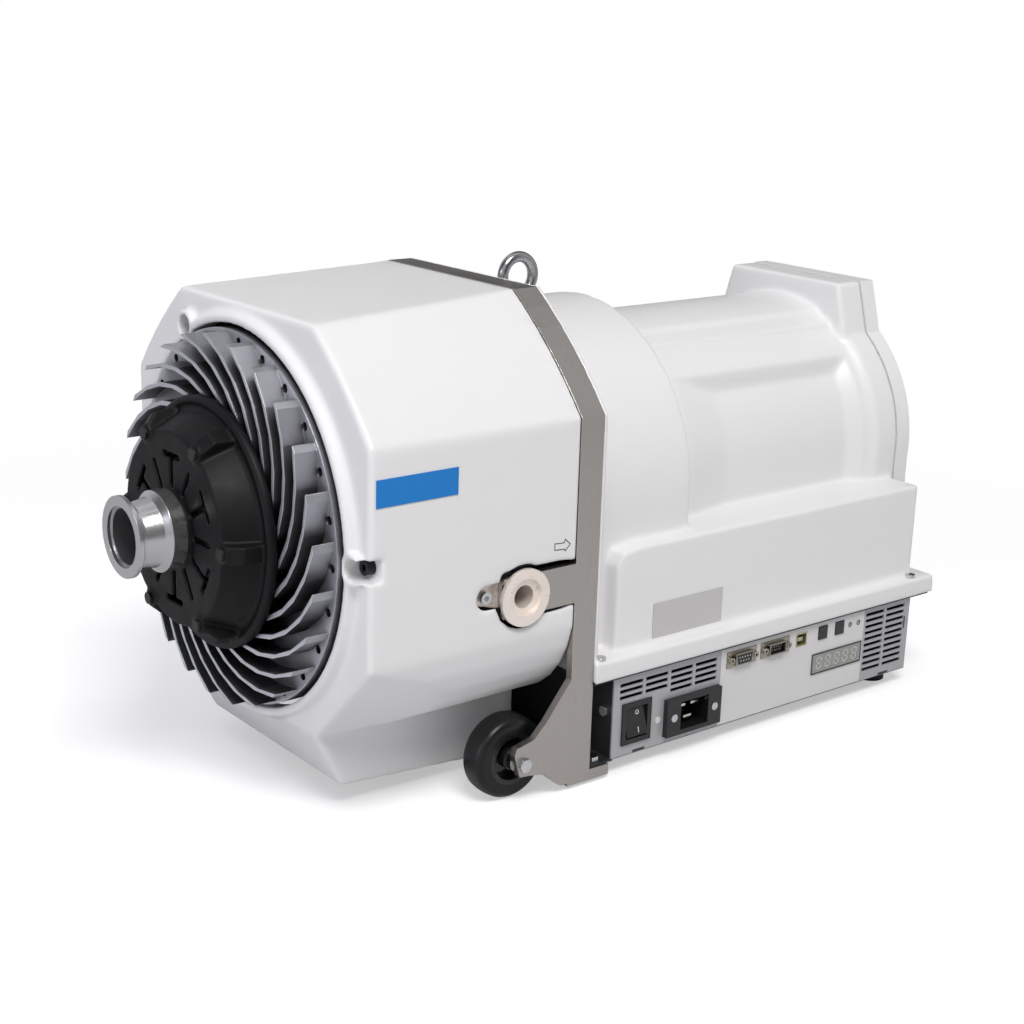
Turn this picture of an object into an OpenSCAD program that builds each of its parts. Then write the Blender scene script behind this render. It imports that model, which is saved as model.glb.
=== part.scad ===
// Dry scroll vacuum pump on a wheeled steel band frame.
// X runs along the shaft from the inlet to the fan end, the control panel faces -Y, and Z = 0 is the floor.

/* [Shaft and frame] */
// Height of the shaft above the floor
shaft_h = 191; // [189:1:193]
// Half of the widest size, over the cowl's lip and the exhaust flange
half_w = 155; // [155:1:158]
// Reach from the band's front edge to the inlet flange's face
inlet_reach = 260; // [258:1:270]
// Reach from the band's front edge to the rear grille's back
rear_reach = 390; // [388:1:400]

/* [Steel band] */
// Width of the band along the shaft
band_w = 20; // [18:1:20]
// Thickness of the band
band_t = 6; // [5:0.5:6]
// Set-in of the band's sides from the widest size
band_inset = 3; // [2.5:0.5:4]
// Height of the band's flat top
band_top = 344; // [342:1:348]
// Half length of the band's flat top
band_top_half = 75; // [70:1:80]
// Height of the corner where the slanted arc meets the side
band_corner = 269; // [262:1:275]
// Rise of the slanted arc over its chord
band_bulge = 3.8; // [2:0.2:6]
// Gap between the band's foot and the floor
foot_gap = 3; // [2:0.5:4]
// Thickness of the foot flange that is bent inwards
foot_t = 8; // [6:0.5:8]
// Length of the foot behind the band's rear edge
foot_tail = 18; // [16:1:20]
// Reach of the caster ear in front of the band
ear_reach = 48; // [46:1:52]
// Height at which the caster ear leaves the band
ear_top = 83; // [76:1:90]

/* [Wheels] */
// Radius of the wheels
wheel_r = 30; // [29:0.5:31]
// Width of the wheels
wheel_w = 22; // [20:1:24]
// Distance of the axles in front of the band
axle_lead = 40; // [38:1:40]
// Gap between the wheel and the caster ear
wheel_gap = 6; // [5:0.5:8]
// Radius of the axle bolt
axle_r = 4; // [3:0.5:4]
// Radius of the wheel's hub
wheel_hub_r = 19; // [18:0.5:20]

/* [Front shroud] */
// Length of the shroud in front of the band
shroud_len = 168; // [166:1:169]
// Wall of the moulded covers
cover_wall = 3.5; // [3:0.5:4]
// Fall of the shroud's top towards the front
shroud_fall = 8; // [6:1:10]
// Height of the lower end of the vertical sides
side_low = 124; // [118:1:130]
// Bulge of the rounded belly below the vertical sides
belly = 15; // [10:1:16]
// Lean of the belly's flat front against the shaft's line
belly_lean = 11; // [9:1:14]
// Half width of the skirt block
skirt_half = 88; // [86:1:92]
// Height of the skirt block's shoulder
skirt_top = 59; // [55:1:60]
// Height of the skirt's front lower edge
skirt_low = 17; // [14:1:20]
// Height of the skirt's rear lower edge
skirt_rear_low = 7; // [5:1:9]
// Lean of the skirt's front face
skirt_lean = 22; // [18:1:26]
// Radius of the round front opening
opening_r = 132; // [132:0.5:134]
// How far the lip round the opening stands proud
lip_proud = 7; // [5:0.5:8]
// Radius of the circle of shroud screws
shroud_screw_r = 139; // [139:0.5:140]

/* [Fixed scroll housing] */
// Radius of the finned housing disc
housing_r = 129; // [128:0.5:129]
// Thickness of the housing disc
housing_disc = 14; // [13:0.5:15]
// Distance from the band to the disc's front face
disc_reach = 177; // [176:0.5:178]
// Height of a fin
fin_h = 16.5; // [14:0.5:16.5]
// Thickness of a fin round the shaft
fin_t = 5.6; // [5:0.2:6]
// Number of fins
fin_n = 25; // [20:1:28]
// Turn of a fin from its inner to its outer end
fin_sweep = 78; // [70:1:84]
// Inner radius of the compression chamber
chamber_r = 112; // [112:0.5:113]

/* [Scroll wraps] */
// Pitch of the wraps
wrap_pitch = 24; // [23:0.5:24]
// Thickness of the wraps
wrap_t = 5; // [4.5:0.1:5]
// Working gap between the wraps' flanks
wrap_gap = 0.5; // [0.5:0.05:0.8]
// Running gap between a tip seal and the plate that it faces
tip_gap = 0.3; // [0.3:0.05:0.4]
// Depth of the chamber between the two plates
chamber_depth = 34; // [33:0.5:34]
// Thickness of the orbiting plate
plate_t = 12; // [12:0.5:12.5]
// Radius of the orbiting plate
plate_r = 104; // [102:0.5:104]

/* [Crank drive] */
// Radius of the crankpin
crankpin_r = 10; // [9:0.5:10]
// Radius of the front journal
journal_r = 12.5; // [12:0.5:13]
// Radius of the motor shaft
shaft_r = 14; // [13.5:0.5:15]
// Radius of the rear journal and the fan seat
tail_r = 10; // [9:0.5:11]
// Radial running clearance of shafts and pins in their bearings
run_fit = 0.05; // [0.03:0.01:0.08]
// Radius of the circle of idler cranks
idler_at = 84; // [83:0.5:85]
// Radius of the idler's main pin
idler_r = 6; // [5.5:0.5:6]
// Radius of the idler's eccentric pin
idler_pin_r = 4; // [3.5:0.5:4]

/* [Ports] */
// Radius of the inlet flange, 40 mm size
inlet_flange_r = 27.5; // [27:0.5:28]
// Radius of the inlet bore
inlet_bore_r = 19; // [18:0.5:19]
// Radius of the exhaust flange, 25 mm size
exhaust_flange_r = 20; // [20:0.5:21]
// Radius of the exhaust bore
exhaust_bore_r = 8; // [7:0.5:8]
// Height of the exhaust port
exhaust_h = 153; // [152:0.5:154]
// Distance of the exhaust port in front of the band
exhaust_lead = 45; // [44:0.5:46]
// Thickness of the flanges' rims
flange_rim = 3; // [2.5:0.5:3.5]

/* [Front guard] */
// Radius of the guard's rim
guard_r = 86.5; // [85:0.5:88]
// Radius of the guard's front disc
guard_disc_r = 66; // [64:0.5:67]
// Radius of the circle of guard screws
guard_screw_at = 67; // [66:0.5:68]

/* [Rear cowl] */
// Radius of the drum behind the band
drum_r = 129; // [128:0.5:130]
// Length of the drum behind the band's front edge
drum_end = 128; // [124:1:132]
// Radius of the motor section
motor_cowl_r = 108; // [107:0.5:109]
// Radius of the raised plateau along the top
plateau_r = 112.5; // [111:0.5:114]
// Radius of the recessed side panels
recess_r = 99; // [98:0.5:100]
// Radius of the flared rim at the fan end
rim_r = 113; // [112.5:0.5:114]
// Height of the flat top at the fan end
flat_top = 319; // [316:1:321]
// Half width of the flat top
flat_half = 60; // [57:1:63]
// Set-in of the cowl's lower box from the widest size
lower_inset = 12; // [11:1:13]
// Height of the lower box's shoulder
lower_top = 166; // [162:1:168]
// Height of the lip's top edge
lip_top = 91; // [89:1:92]
// Distance from the lip's end to the grille's back
lip_short = 5; // [4:1:7]

/* [Motor] */
// Outer radius of the motor housing
motor_r = 90; // [89:0.5:91]
// Wall of the motor housing
motor_wall = 6; // [5:0.5:7]
// Radius of the rotor core
rotor_r = 47; // [45:0.5:49]
// Air gap between rotor and stator
air_gap = 0.7; // [0.5:0.1:1]
// Radius of the cooling fan
fan_r = 86; // [80:1:88]

/* [Control box] */
// Distance from the band's front edge to the box
box_start = 42; // [41:0.5:43]
// Distance from the box's end to the grille's back
box_short = 26; // [24:1:28]
// Set-in of the box's panel from the widest size
box_inset = 5; // [4.5:0.5:5.5]
// Height of the box's floor
box_low = 12; // [12:0.5:13]
// Height of the box's lid
box_top = 75; // [75:0.5:75.5]
// Thickness of the sheet metal
sheet_t = 1.5; // [1.2:0.1:1.6]
// Travel of the push buttons
button_travel = 1; // [0.8:0.1:1.2]

/* [Lifting eye] */
// Outer radius of the eye's ring
eye_r = 18; // [17:0.5:19]
// Radius of the hole in the eye
eye_hole_r = 10; // [9:0.5:10]
// Distance of the eye behind the band's front edge
eye_back = 63.5; // [60:0.5:66]

/* [Hidden] */
$fn = 96;
// Overrun of cuts past a face
over = 1;
// Gap between neighbouring covers
seam = 0.3;
// Number of points on an arc of an outline
arc_n = 6;
// Smallest inset factor at a slanted corner of an outline
slant_share = 0.41;

// Place of the band's front edge: the whole length is centred on X = 0
band_x = (inlet_reach - rear_reach) / 2;
inlet_x = band_x - inlet_reach;
shroud_x = band_x - shroud_len;
disc_x = band_x - disc_reach;
chamber_x = disc_x + housing_disc;
plate_x = chamber_x + chamber_depth;
plate_back = plate_x + plate_t;
axle_x = band_x - axle_lead;
exhaust_x = band_x - exhaust_lead;
box_x = band_x + box_start;
grille_end = band_x + rear_reach;
box_end = grille_end - box_short;
box_len = box_end - box_x;
band_half = half_w - band_inset;
lower_half = half_w - lower_inset;
box_half = half_w - box_inset;
eye_x = band_x + eye_back;
foot_top = foot_gap + foot_t;

// Orbit radius: half the pitch less the wall and the flank gap
orbit_r = wrap_pitch / 2 - wrap_t - wrap_gap;

// Helpers: outlines given in (Y, Z) run along X, outlines given in (X, Z) run along Y
module along_x(x1, x2) {
    translate([x1, 0, 0]) rotate([90, 0, 90]) linear_extrude(x2 - x1) children();
}
module along_y(y1, y2) {
    translate([0, y2, 0]) rotate([90, 0, 0]) linear_extrude(y2 - y1) children();
}
module rod_x(x1, x2, r) {
    translate([x1, 0, 0]) rotate([0, 90, 0]) cylinder(h = x2 - x1, r = r);
}
module rod_y(y1, y2, r) {
    translate([0, y1, 0]) rotate([-90, 0, 0]) cylinder(h = y2 - y1, r = r);
}
module ring_x(x1, x2, r_in, r_out) {
    difference() {
        rod_x(x1, x2, r_out);
        rod_x(x1 - over, x2 + over, r_in);
    }
}
// A profile of [radius, X] pairs turned about the shaft's line
module turned_x(profile) {
    rotate([0, 90, 0]) rotate_extrude() polygon(profile);
}
module on_shaft() {
    translate([0, 0, shaft_h]) children();
}
// Place at an angle seen from the front: 0 is the panel side, 90 is the top
module at_angle(a, r) {
    translate([0, -r * cos(a), r * sin(a)]) children();
}
module block(x, y, z) {
    translate([x[0], y[0], z[0]]) cube([x[1] - x[0], y[1] - y[0], z[1] - z[0]]);
}
// Places that several pieces share
module at_shroud_screws() {
    for (a = shroud_angles) on_shaft() at_angle(a, shroud_screw_r) children();
}
module at_guard_screws() {
    for (k = [1 : guard_screw_n]) on_shaft() at_angle(k * 360 / guard_screw_n, guard_screw_at) children();
}
module at_housing_bolts() {
    for (a = bolt_angles) on_shaft() at_angle(a, bolt_circle) children();
}
module at_bell_bolts() {
    for (k = [1 : bell_bolt_n]) on_shaft() at_angle((k + 0.5) * 360 / bell_bolt_n, bell_bolt_at) children();
}
module at_idlers() {
    for (a = idler_angles) on_shaft() at_angle(a, idler_at) children();
}
// Points of a shallow arc from p to q, bulging to the left of its direction
function arc(p, q, rise) = [for (k = [0 : arc_n]) let (t = k / arc_n, d = q - p, n = [-d[1],
    d[0]] / norm(d))
    p + d * t + n * rise * 4 * t * (1 - t)];
function mirrored(points) = [for (p = points) [-p[0], p[1]]];
function reversed(points) = [for (k = [len(points) - 1 : -1 : 0]) points[k]];
// The band's crown, from the left side over the flat top to the right side, drawn in by an inset
function right_arc(inset) = arc([band_half - inset, band_corner - inset * slant_share],
    [band_top_half - inset * slant_share, band_top - inset], -band_bulge);
function crown(inset) = concat(mirrored(right_arc(inset)), reversed(right_arc(inset)));

// Shroud values
collar_w = 5;
collar_foot = 9;
collar_back = 8;
cup_r = 7.5;
cup_wall = 3.5;
cup_gap = 0.5;
cup_depth = 10;
ear_gap = 0.5;
screw_m6 = 3;
screw_fit = 0.3;
head_m6_r = 5;
head_m6_h = 6;
socket_r = 2.5;
socket_depth = 3;
arm_t = band_t;
arm_under = 13;
arm_over = 15;
arm_reach = 62;
arm_low = exhaust_h - arm_under;
arm_high = exhaust_h + arm_over;
notch_over = 18.5;
lug_lead = 75;
lug_rise = 4;
lug_h = exhaust_h + lug_rise;
lug_slot_r = 7.5;
neck_gap = 1;
notch_low = exhaust_h - arm_under - neck_gap;
notch_high = exhaust_h + notch_over;
notch_reach = arm_reach + neck_gap;
shroud_angles = [0, 120, 240];

// The side rounds into the skirt; a leaning flat trims that belly towards the front face
function belly_arc(inset) = arc([band_half - inset, side_low + inset * slant_share],
    [skirt_half - inset, skirt_top + inset * slant_share], belly);
module belly_trim(inset) {
    drop = side_low - skirt_top;
    draw = band_half - skirt_half;
    for (s = [0, 1]) mirror([0, s, 0]) translate([shroud_x, -band_half, side_low])
        rotate([atan2(draw, drop), 0, 0]) rotate([0, 0, -belly_lean])
            translate([-band_top, inset - band_top, -norm([draw, drop])])
                cube([band_top * 2, band_top, norm([draw, drop]) + band_top]);
}
module shroud_outline(inset) {
    polygon(concat(crown(inset), [
        for (p = belly_arc(inset)) p,
        [skirt_half - inset, -over],
        [inset - skirt_half, -over],
        for (p = reversed(mirrored(belly_arc(inset)))) p]));
}
module shroud_profile(inset, end) {
    polygon(concat([
        [end, band_top - inset],
        [shroud_x + inset, band_top - shroud_fall - inset],
        [shroud_x + inset, skirt_top + inset * slant_share],
        [shroud_x + skirt_lean + inset, skirt_low]],
        inset > 0 ? [[shroud_x + skirt_lean + inset, -over], [end, -over]] : [[end, skirt_rear_low]]));
}
module shroud_solid(inset, end) {
    difference() {
        intersection() {
            along_x(shroud_x - over, end) shroud_outline(inset);
            along_y(-half_w, half_w) shroud_profile(inset, end);
        }
        belly_trim(inset);
    }
}
module front_shroud() {
    color("white") difference() {
        union() {
            difference() {
                shroud_solid(0, band_x - seam);
                shroud_solid(cover_wall, band_x + over);
                on_shaft() rod_x(shroud_x - over, shroud_x + cover_wall + over, opening_r);
            }
            on_shaft() turned_x([
                [opening_r, shroud_x - lip_proud],
                [opening_r + collar_w, shroud_x - lip_proud],
                [opening_r + collar_foot, shroud_x],
                [opening_r + collar_foot, shroud_x + cover_wall],
                [opening_r + cover_wall, shroud_x + collar_back],
                [opening_r, shroud_x + collar_back]]);
            at_shroud_screws() rod_x(shroud_x - lip_proud, shroud_x + cup_depth + cover_wall,
                cup_r + cup_wall);
        }
        on_shaft() rod_x(shroud_x - lip_proud - over, shroud_x + cup_depth + cover_wall + over,
            housing_r + cup_gap);
        at_shroud_screws() {
            rod_x(shroud_x - lip_proud - over, shroud_x + cup_depth, cup_r);
            rod_x(shroud_x, shroud_x + cup_depth + cover_wall + over, screw_m6 + screw_fit);
        }
        block([shroud_x - lip_proud - over, shroud_x + cup_depth], [-half_w, -shroud_screw_r],
            [shaft_h - cup_r, shaft_h + cup_r]);
        block([band_x - notch_reach, band_x + over], [-half_w, cover_wall - band_half + over],
            [notch_low, notch_high]);
        translate([exhaust_x, 0, exhaust_h]) rod_y(-half_w, cover_wall - band_half + over,
            exhaust_flange_r + neck_gap);
        translate([lug_x, 0, lug_h]) rod_y(-half_w, cover_wall - band_half + over, lug_slot_r);
        block([lug_x, band_x - notch_reach + over], [-half_w, cover_wall - band_half + over],
            [lug_h - lug_slot_r, lug_h + lug_slot_r]);
    }
}
module socket_screw_x(x, length) {
    difference() {
        union() {
            rod_x(x - head_m6_h, x, head_m6_r);
            rod_x(x, x + length, screw_m6);
        }
        translate([x - head_m6_h - over, 0, 0]) rotate([0, 90, 0])
            cylinder(h = socket_depth + over, r = socket_r, $fn = 6);
    }
}
shroud_screw_len = 20;
module shroud_screws() {
    color("black") at_shroud_screws() socket_screw_x(shroud_x + cup_depth, shroud_screw_len);
}

// Inlet: turned aluminium flange, centring ring seat and nipple
inlet_tube_r = 20;
inlet_waist_r = 21;
inlet_cone_r = 23.5;
inlet_waist_at = 8;
inlet_cone_at = 20;
inlet_seat_at = 25.6;
inlet_recess_r = 20.6;
inlet_recess = 3;
flange_taper = 1.8;
inlet_seat_t = 8.4;
inlet_tail = 2;
module inlet_port() {
    color("silver") on_shaft() turned_x([
        [inlet_recess_r, inlet_x],
        [inlet_flange_r, inlet_x],
        [inlet_flange_r, inlet_x + flange_rim],
        [inlet_waist_r, inlet_x + flange_rim + flange_taper],
        [inlet_waist_r, inlet_x + inlet_waist_at],
        [inlet_cone_r, inlet_x + inlet_cone_at],
        [inlet_flange_r, inlet_x + inlet_seat_at - flange_taper],
        [inlet_flange_r, inlet_x + inlet_seat_at + inlet_seat_t],
        [inlet_tube_r, inlet_x + inlet_seat_at + inlet_seat_t],
        [inlet_tube_r, disc_x - inlet_tail],
        [inlet_bore_r, disc_x - inlet_tail],
        [inlet_bore_r, inlet_x + inlet_recess],
        [inlet_recess_r, inlet_x + inlet_recess]]);
}

// Guard: black moulded dish over the inlet, with slots and six screw bosses
guard_wall = 3;
guard_x = inlet_x + inlet_seat_at + inlet_seat_t + guard_wall;
guard_screw_n = 6;
guard_brim = 6;
guard_shoulder_r = 76;
guard_boss_r = 6.5;
guard_boss_proud = 1;
guard_seat_r = 26;
guard_hole_r = 20.3;
guard_rim_x = disc_x - fin_h - seam;
guard_boss_step = 2;
guard_boss_back = guard_rim_x - guard_boss_step;
slot_w = 4;
slot_in = 28;
slot_out = 50;
slot_long = 56;
cap_half = 11;
guard_screw_head_r = 4.2;
guard_screw_head_h = 2;
guard_screw_r = 2;
t_angles = [90, 30, -30, -90, -150, 150];
module guard_slot(a, r_out) {
    on_shaft() rotate([-a, 0, 0])
        block([guard_x - over, guard_x + guard_wall + over], [-r_out, -slot_in], [-slot_w / 2, slot_w / 2]);
}
module front_guard() {
    color([0.08, 0.08, 0.085]) difference() {
        union() {
            on_shaft() turned_x([
                [guard_hole_r, guard_x],
                [guard_disc_r, guard_x],
                [guard_shoulder_r, guard_rim_x - guard_brim],
                [guard_r, guard_rim_x - guard_wall],
                [guard_r, guard_rim_x],
                [guard_shoulder_r - guard_wall, guard_rim_x],
                [guard_disc_r - guard_wall, guard_x + guard_wall],
                [guard_hole_r, guard_x + guard_wall]]);
            on_shaft() ring_x(guard_x - guard_wall, guard_x + over, guard_hole_r, guard_seat_r);
            at_guard_screws() rod_x(guard_x - guard_boss_proud, guard_boss_back, guard_boss_r);
        }
        for (k = [1 : guard_screw_n]) guard_slot(k * 360 / guard_screw_n, slot_long - guard_boss_r);
        at_guard_screws()
            rod_x(guard_x - guard_boss_proud - over, guard_boss_back + over, guard_screw_r + screw_fit);
        for (a = t_angles) {
            guard_slot(a, slot_out);
            on_shaft() rotate([-a, 0, 0]) block([guard_x - over, guard_x + guard_wall + over],
                [-slot_out - slot_w / 2, -slot_out + slot_w / 2], [-cap_half, cap_half]);
        }
    }
}
module guard_screws() {
    color([0.1, 0.1, 0.1]) at_guard_screws() {
        rod_x(guard_x - guard_boss_proud - guard_screw_head_h, guard_x - guard_boss_proud,
            guard_screw_head_r);
        rod_x(guard_x - guard_boss_proud, guard_boss_back + guard_post_hole - over, guard_screw_r);
    }
}

// Wraps: both flanks of an involute wall, from a start to an end angle in degrees
wrap_base = wrap_pitch / (2 * PI);
wrap_step = 6;
wrap_start = 460;
function involute(a, shift) = wrap_base * [
    cos(a) + (a * PI / 180 + shift) * sin(a),
    sin(a) - (a * PI / 180 + shift) * cos(a)];
function spiral(from, to, wall) = concat(
    [for (k = [0 : floor((to - from) / wrap_step)]) involute(from + k * wrap_step, wall / 2 / wrap_base)],
    [for (k = [floor((to - from) / wrap_step) : -1 : 0]) involute(from + k * wrap_step,
        -wall / 2 / wrap_base)]);
fixed_end = chamber_r / wrap_base * 180 / PI;
orbit_end = (plate_r - wrap_t) / wrap_base * 180 / PI;
seal_w = 2.4;
seal_groove = 2;
seal_end_gap = 12;
wrap_tip = tip_gap * 2;
module wrap(from, to, wall, x1, x2) {
    along_x(x1, x2) polygon(spiral(from, to, wall));
}

// Housing: finned aluminium casting that carries the fixed wrap
hub_boss_r = 40;
hub_boss_h = 20;
guard_post_r = 4.5;
guard_post_hole = 14;
ring_past = 4;
ring_back = plate_x + ring_past;
fin_inner = 46;
fin_steps = 8;
fin_clip = 2;
gallery_r = 4;
gallery_at = 6;
gallery_out = 106;
discharge_at = 24.5;
discharge_r = 3.5;
exhaust_duct_y = 115;
exhaust_duct_r = 4.5;
duct_drop = shaft_h - exhaust_h;
duct_radius = norm([exhaust_duct_y, duct_drop]);
duct_angle = -atan2(duct_drop, exhaust_duct_y);
bolt_in = 5.5;
bolt_circle = housing_r - bolt_in;
bolt_r = 2.5;
bolt_depth = 26;
bolt_angles = [30, 90, 150, 210, 270, 330];
ear_r = 8;
ear_t = 10;
ear_x = shroud_x + cup_depth + cover_wall + ear_gap;
inlet_angles = [60, 180, 300];
rim_hole_r = 3;
rim_hole_in = 6;
rim_hole_at = housing_r - rim_hole_in;
function fin_point(t, side) = let (
    r = fin_inner + (housing_r - fin_clip - fin_inner) * t,
    lead = 180 / PI * side * fin_t / 2 / r,
    a = fin_sweep * t + lead) [-r * cos(a), r * sin(a)];
module fin() {
    along_x(disc_x - fin_h, disc_x + over) polygon(concat(
        [for (k = [0 : fin_steps]) fin_point(k / fin_steps, -1)],
        [for (k = [fin_steps : -1 : 0]) fin_point(k / fin_steps, 1)]));
}
module outboard_housing() {
    color([0.45, 0.45, 0.46]) difference() {
        union() {
            on_shaft() rod_x(disc_x, chamber_x, housing_r);
            on_shaft() rod_x(disc_x - hub_boss_h, disc_x, hub_boss_r);
            on_shaft() ring_x(chamber_x - over, ring_back, chamber_r, housing_r);
            on_shaft() for (k = [0 : fin_n - 1]) rotate([-k * 360 / fin_n, 0, 0]) fin();
            at_guard_screws() rod_x(guard_boss_back, disc_x, guard_post_r);
            at_shroud_screws() rod_x(ear_x, ear_x + ear_t, ear_r);
            for (a = shroud_angles) on_shaft() rotate([-a, 0, 0])
                block([ear_x, ear_x + ear_t], [-shroud_screw_r, -chamber_r - over], [-ear_r, ear_r]);
            on_shaft() intersection() {
                wrap(wrap_start, fixed_end, wrap_t, chamber_x - over, plate_x - wrap_tip);
                rod_x(chamber_x - over, plate_x, chamber_r + over);
            }
        }
        on_shaft() wrap(wrap_start + seal_end_gap, orbit_end, seal_w, plate_x - wrap_tip - seal_groove,
            plate_x);
        on_shaft() rod_x(disc_x - hub_boss_h - over, chamber_x - wrap_t, inlet_tube_r);
        for (a = inlet_angles) on_shaft() rotate([-a, 0, 0]) {
            translate([disc_x + gallery_at, 0, 0]) rod_y(-gallery_out, 0, gallery_r / 2);
            translate([0, -gallery_out, 0]) rod_x(disc_x + gallery_at, chamber_x, gallery_r);
        }
        on_shaft() rotate([-duct_angle, 0, 0]) {
            translate([disc_x + gallery_at, 0, 0]) rod_y(-duct_radius, -discharge_at, gallery_r);
            translate([0, -discharge_at, 0]) rod_x(disc_x + gallery_at, chamber_x, discharge_r);
            translate([0, -duct_radius, 0]) rod_x(disc_x + gallery_at, ring_back + over, exhaust_duct_r);
        }
        at_housing_bolts() rod_x(ring_back - bolt_depth, ring_back + over, bolt_r + run_fit);
        at_guard_screws()
            rod_x(guard_boss_back - over, guard_boss_back + guard_post_hole, guard_screw_r + run_fit);
        at_shroud_screws() rod_x(ear_x - over, ear_x + ear_t + over, screw_m6 + run_fit);
        for (k = [0 : fin_n - 1]) on_shaft() at_angle(fin_sweep + (k + 0.5) * 360 / fin_n, rim_hole_at)
            rod_x(disc_x - over, disc_x + gallery_at / 2, rim_hole_r);
    }
}
module fixed_tip_seal() {
    color("ivory") on_shaft() wrap(wrap_start + seal_end_gap, orbit_end, seal_w,
        plate_x - wrap_tip - seal_groove, plate_x - tip_gap);
}

// Orbiting scroll: plate, wrap turned by half a turn, and the hub that takes the crankpin
hub_r = 22;
hub_len = 21;
crank_bearing_r = 17;
crank_bearing_len = 16;
crank_bearing_in = 2;
bush_r = 8;
bush_len = 10;
bush_depth = 10;
idler_angles = [90, 210, 330];
module at_orbit() {
    translate([0, 0, shaft_h + orbit_r]) children();
}
module orbiting_wrap(from, to, wall, x1, x2) {
    at_orbit() rotate([180, 0, 0]) wrap(from, to, wall, x1, x2);
}
module orbiting_scroll() {
    color([0.6, 0.6, 0.62]) difference() {
        union() {
            at_orbit() rod_x(plate_x, plate_back, plate_r);
            at_orbit() rod_x(plate_back - over, plate_back + hub_len, hub_r);
            orbiting_wrap(wrap_start, orbit_end, wrap_t, chamber_x + wrap_tip, plate_x + over);
        }
        orbiting_wrap(wrap_start + seal_end_gap, orbit_end - seal_end_gap, seal_w,
            chamber_x, chamber_x + wrap_tip + seal_groove);
        at_orbit() rod_x(plate_back, plate_back + hub_len + over, crank_bearing_r);
        for (a = idler_angles) at_orbit() at_angle(a, idler_at)
            rod_x(plate_back - bush_depth, plate_back + over, bush_r);
    }
}
module orbiting_tip_seal() {
    color("ivory") orbiting_wrap(wrap_start + seal_end_gap, orbit_end - seal_end_gap, seal_w,
        chamber_x + tip_gap, chamber_x + wrap_tip + seal_groove);
}
module crankpin_bearing() {
    color("silver") at_orbit() ring_x(plate_back + crank_bearing_in,
        plate_back + crank_bearing_in + crank_bearing_len,
        crankpin_r + run_fit, crank_bearing_r);
}
module orbiter_bushes() {
    color("tan") for (a = idler_angles) at_orbit() at_angle(a, idler_at)
        ring_x(plate_back - bush_len, plate_back, idler_pin_r + run_fit, bush_r);
}

// Pump frame: casting with the flange, idler web, bearing wall, barrel, exhaust duct and pedestal
frame_t = 12;
web_gap = 8;
web_x = plate_back + web_gap;
web_t = 14;
web_hole_r = 31;
crank_bay = 35;
wall_x = web_x + web_t + crank_bay;
wall_t = 16;
wall_end = wall_x + wall_t;
barrel_r = 118;
rear_barrel_r = 105;
rear_barrel_wall = 10;
motor_gap = 2;
motor_x = band_x + band_w + motor_gap;
bearing_r = 26;
rear_bearing_r = 21;
bearing_len = 14;
idler_bearing_r = 11;
duct_boss_r = 11;
duct_end = exhaust_x + duct_boss_r + over;
seat_r = 13;
seat_step = 6;
seat_y = exhaust_duct_y + duct_boss_r + seat_step;
lug_screw_r = 2.5;
lug_boss_r = 7;
lug_t = 4;
lug_in = 6.5;
lug_y = band_half - lug_in;
lug_x = band_x - lug_lead;
pedestal_half = 30;
arm_half_h = 14;
seal_at = 114.4;
seal_cord_r = 1.1;
seal_slot = 2.6;
bolt_head_r = 4.2;
bolt_head_h = 4;
module pump_frame() {
    color([0.7, 0.7, 0.7]) difference() {
        union() {
            on_shaft() ring_x(ring_back, ring_back + frame_t, chamber_r, housing_r);
            on_shaft() ring_x(ring_back + frame_t - over, wall_end, chamber_r, barrel_r);
            on_shaft() rod_x(web_x, web_x + web_t, chamber_r + over);
            on_shaft() rod_x(wall_x, wall_end, chamber_r + over);
            on_shaft() ring_x(wall_end - over, motor_x, rear_barrel_r - rear_barrel_wall, rear_barrel_r);
            translate([0, -exhaust_duct_y, exhaust_h]) rod_x(ring_back + frame_t - over, duct_end,
                duct_boss_r);
            translate([exhaust_x, 0, exhaust_h]) rod_y(-seat_y, -exhaust_duct_y, seat_r);
            translate([lug_x, 0, lug_h]) rod_y(lug_t - lug_y, -chamber_r, lug_boss_r);
            block([band_x, band_x + band_w], [-pedestal_half, pedestal_half],
                [foot_top, shaft_h - rear_barrel_r + rear_barrel_wall / 2]);
            for (s = [-1, 1]) block([band_x, band_x + band_w],
                s > 0 ? [rear_barrel_r - rear_barrel_wall / 2, band_half - band_t]
                    : [band_t - band_half, rear_barrel_wall / 2 - rear_barrel_r],
                [shaft_h - arm_half_h, shaft_h + arm_half_h]);
        }
        on_shaft() rod_x(web_x - over, web_x + web_t + over, web_hole_r);
        on_shaft() rod_x(wall_x - over, wall_end + over, bearing_r);
        at_idlers() rod_x(web_x - over, web_x + web_t + over, idler_bearing_r);
        translate([0, -exhaust_duct_y, exhaust_h]) rod_x(ring_back - over, duct_end - wrap_t,
            exhaust_duct_r);
        translate([exhaust_x, 0, exhaust_h]) rod_y(-seat_y - over, -exhaust_duct_y, exhaust_bore_r);
        translate([lug_x, 0, lug_h]) rod_y(-lug_y, -chamber_r - over * 2, lug_screw_r + run_fit);
        on_shaft() ring_x(ring_back - over, ring_back + seal_slot - over, seal_at - seal_slot / 2,
            seal_at + seal_slot / 2);
        at_housing_bolts() rod_x(ring_back - over, ring_back + frame_t + over, bolt_r + run_fit);
    }
}
module housing_seal() {
    color([0.1, 0.1, 0.1]) on_shaft() rotate([0, 90, 0]) rotate_extrude()
        translate([seal_at, ring_back + seal_cord_r / 2 + seam]) circle(r = seal_cord_r / 2);
}
module housing_bolts() {
    color("silver") at_housing_bolts() {
        rod_x(ring_back + frame_t, ring_back + frame_t + bolt_head_h, bolt_head_r);
        rod_x(ring_back - bolt_depth + over, ring_back + frame_t, bolt_r);
    }
}

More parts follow.
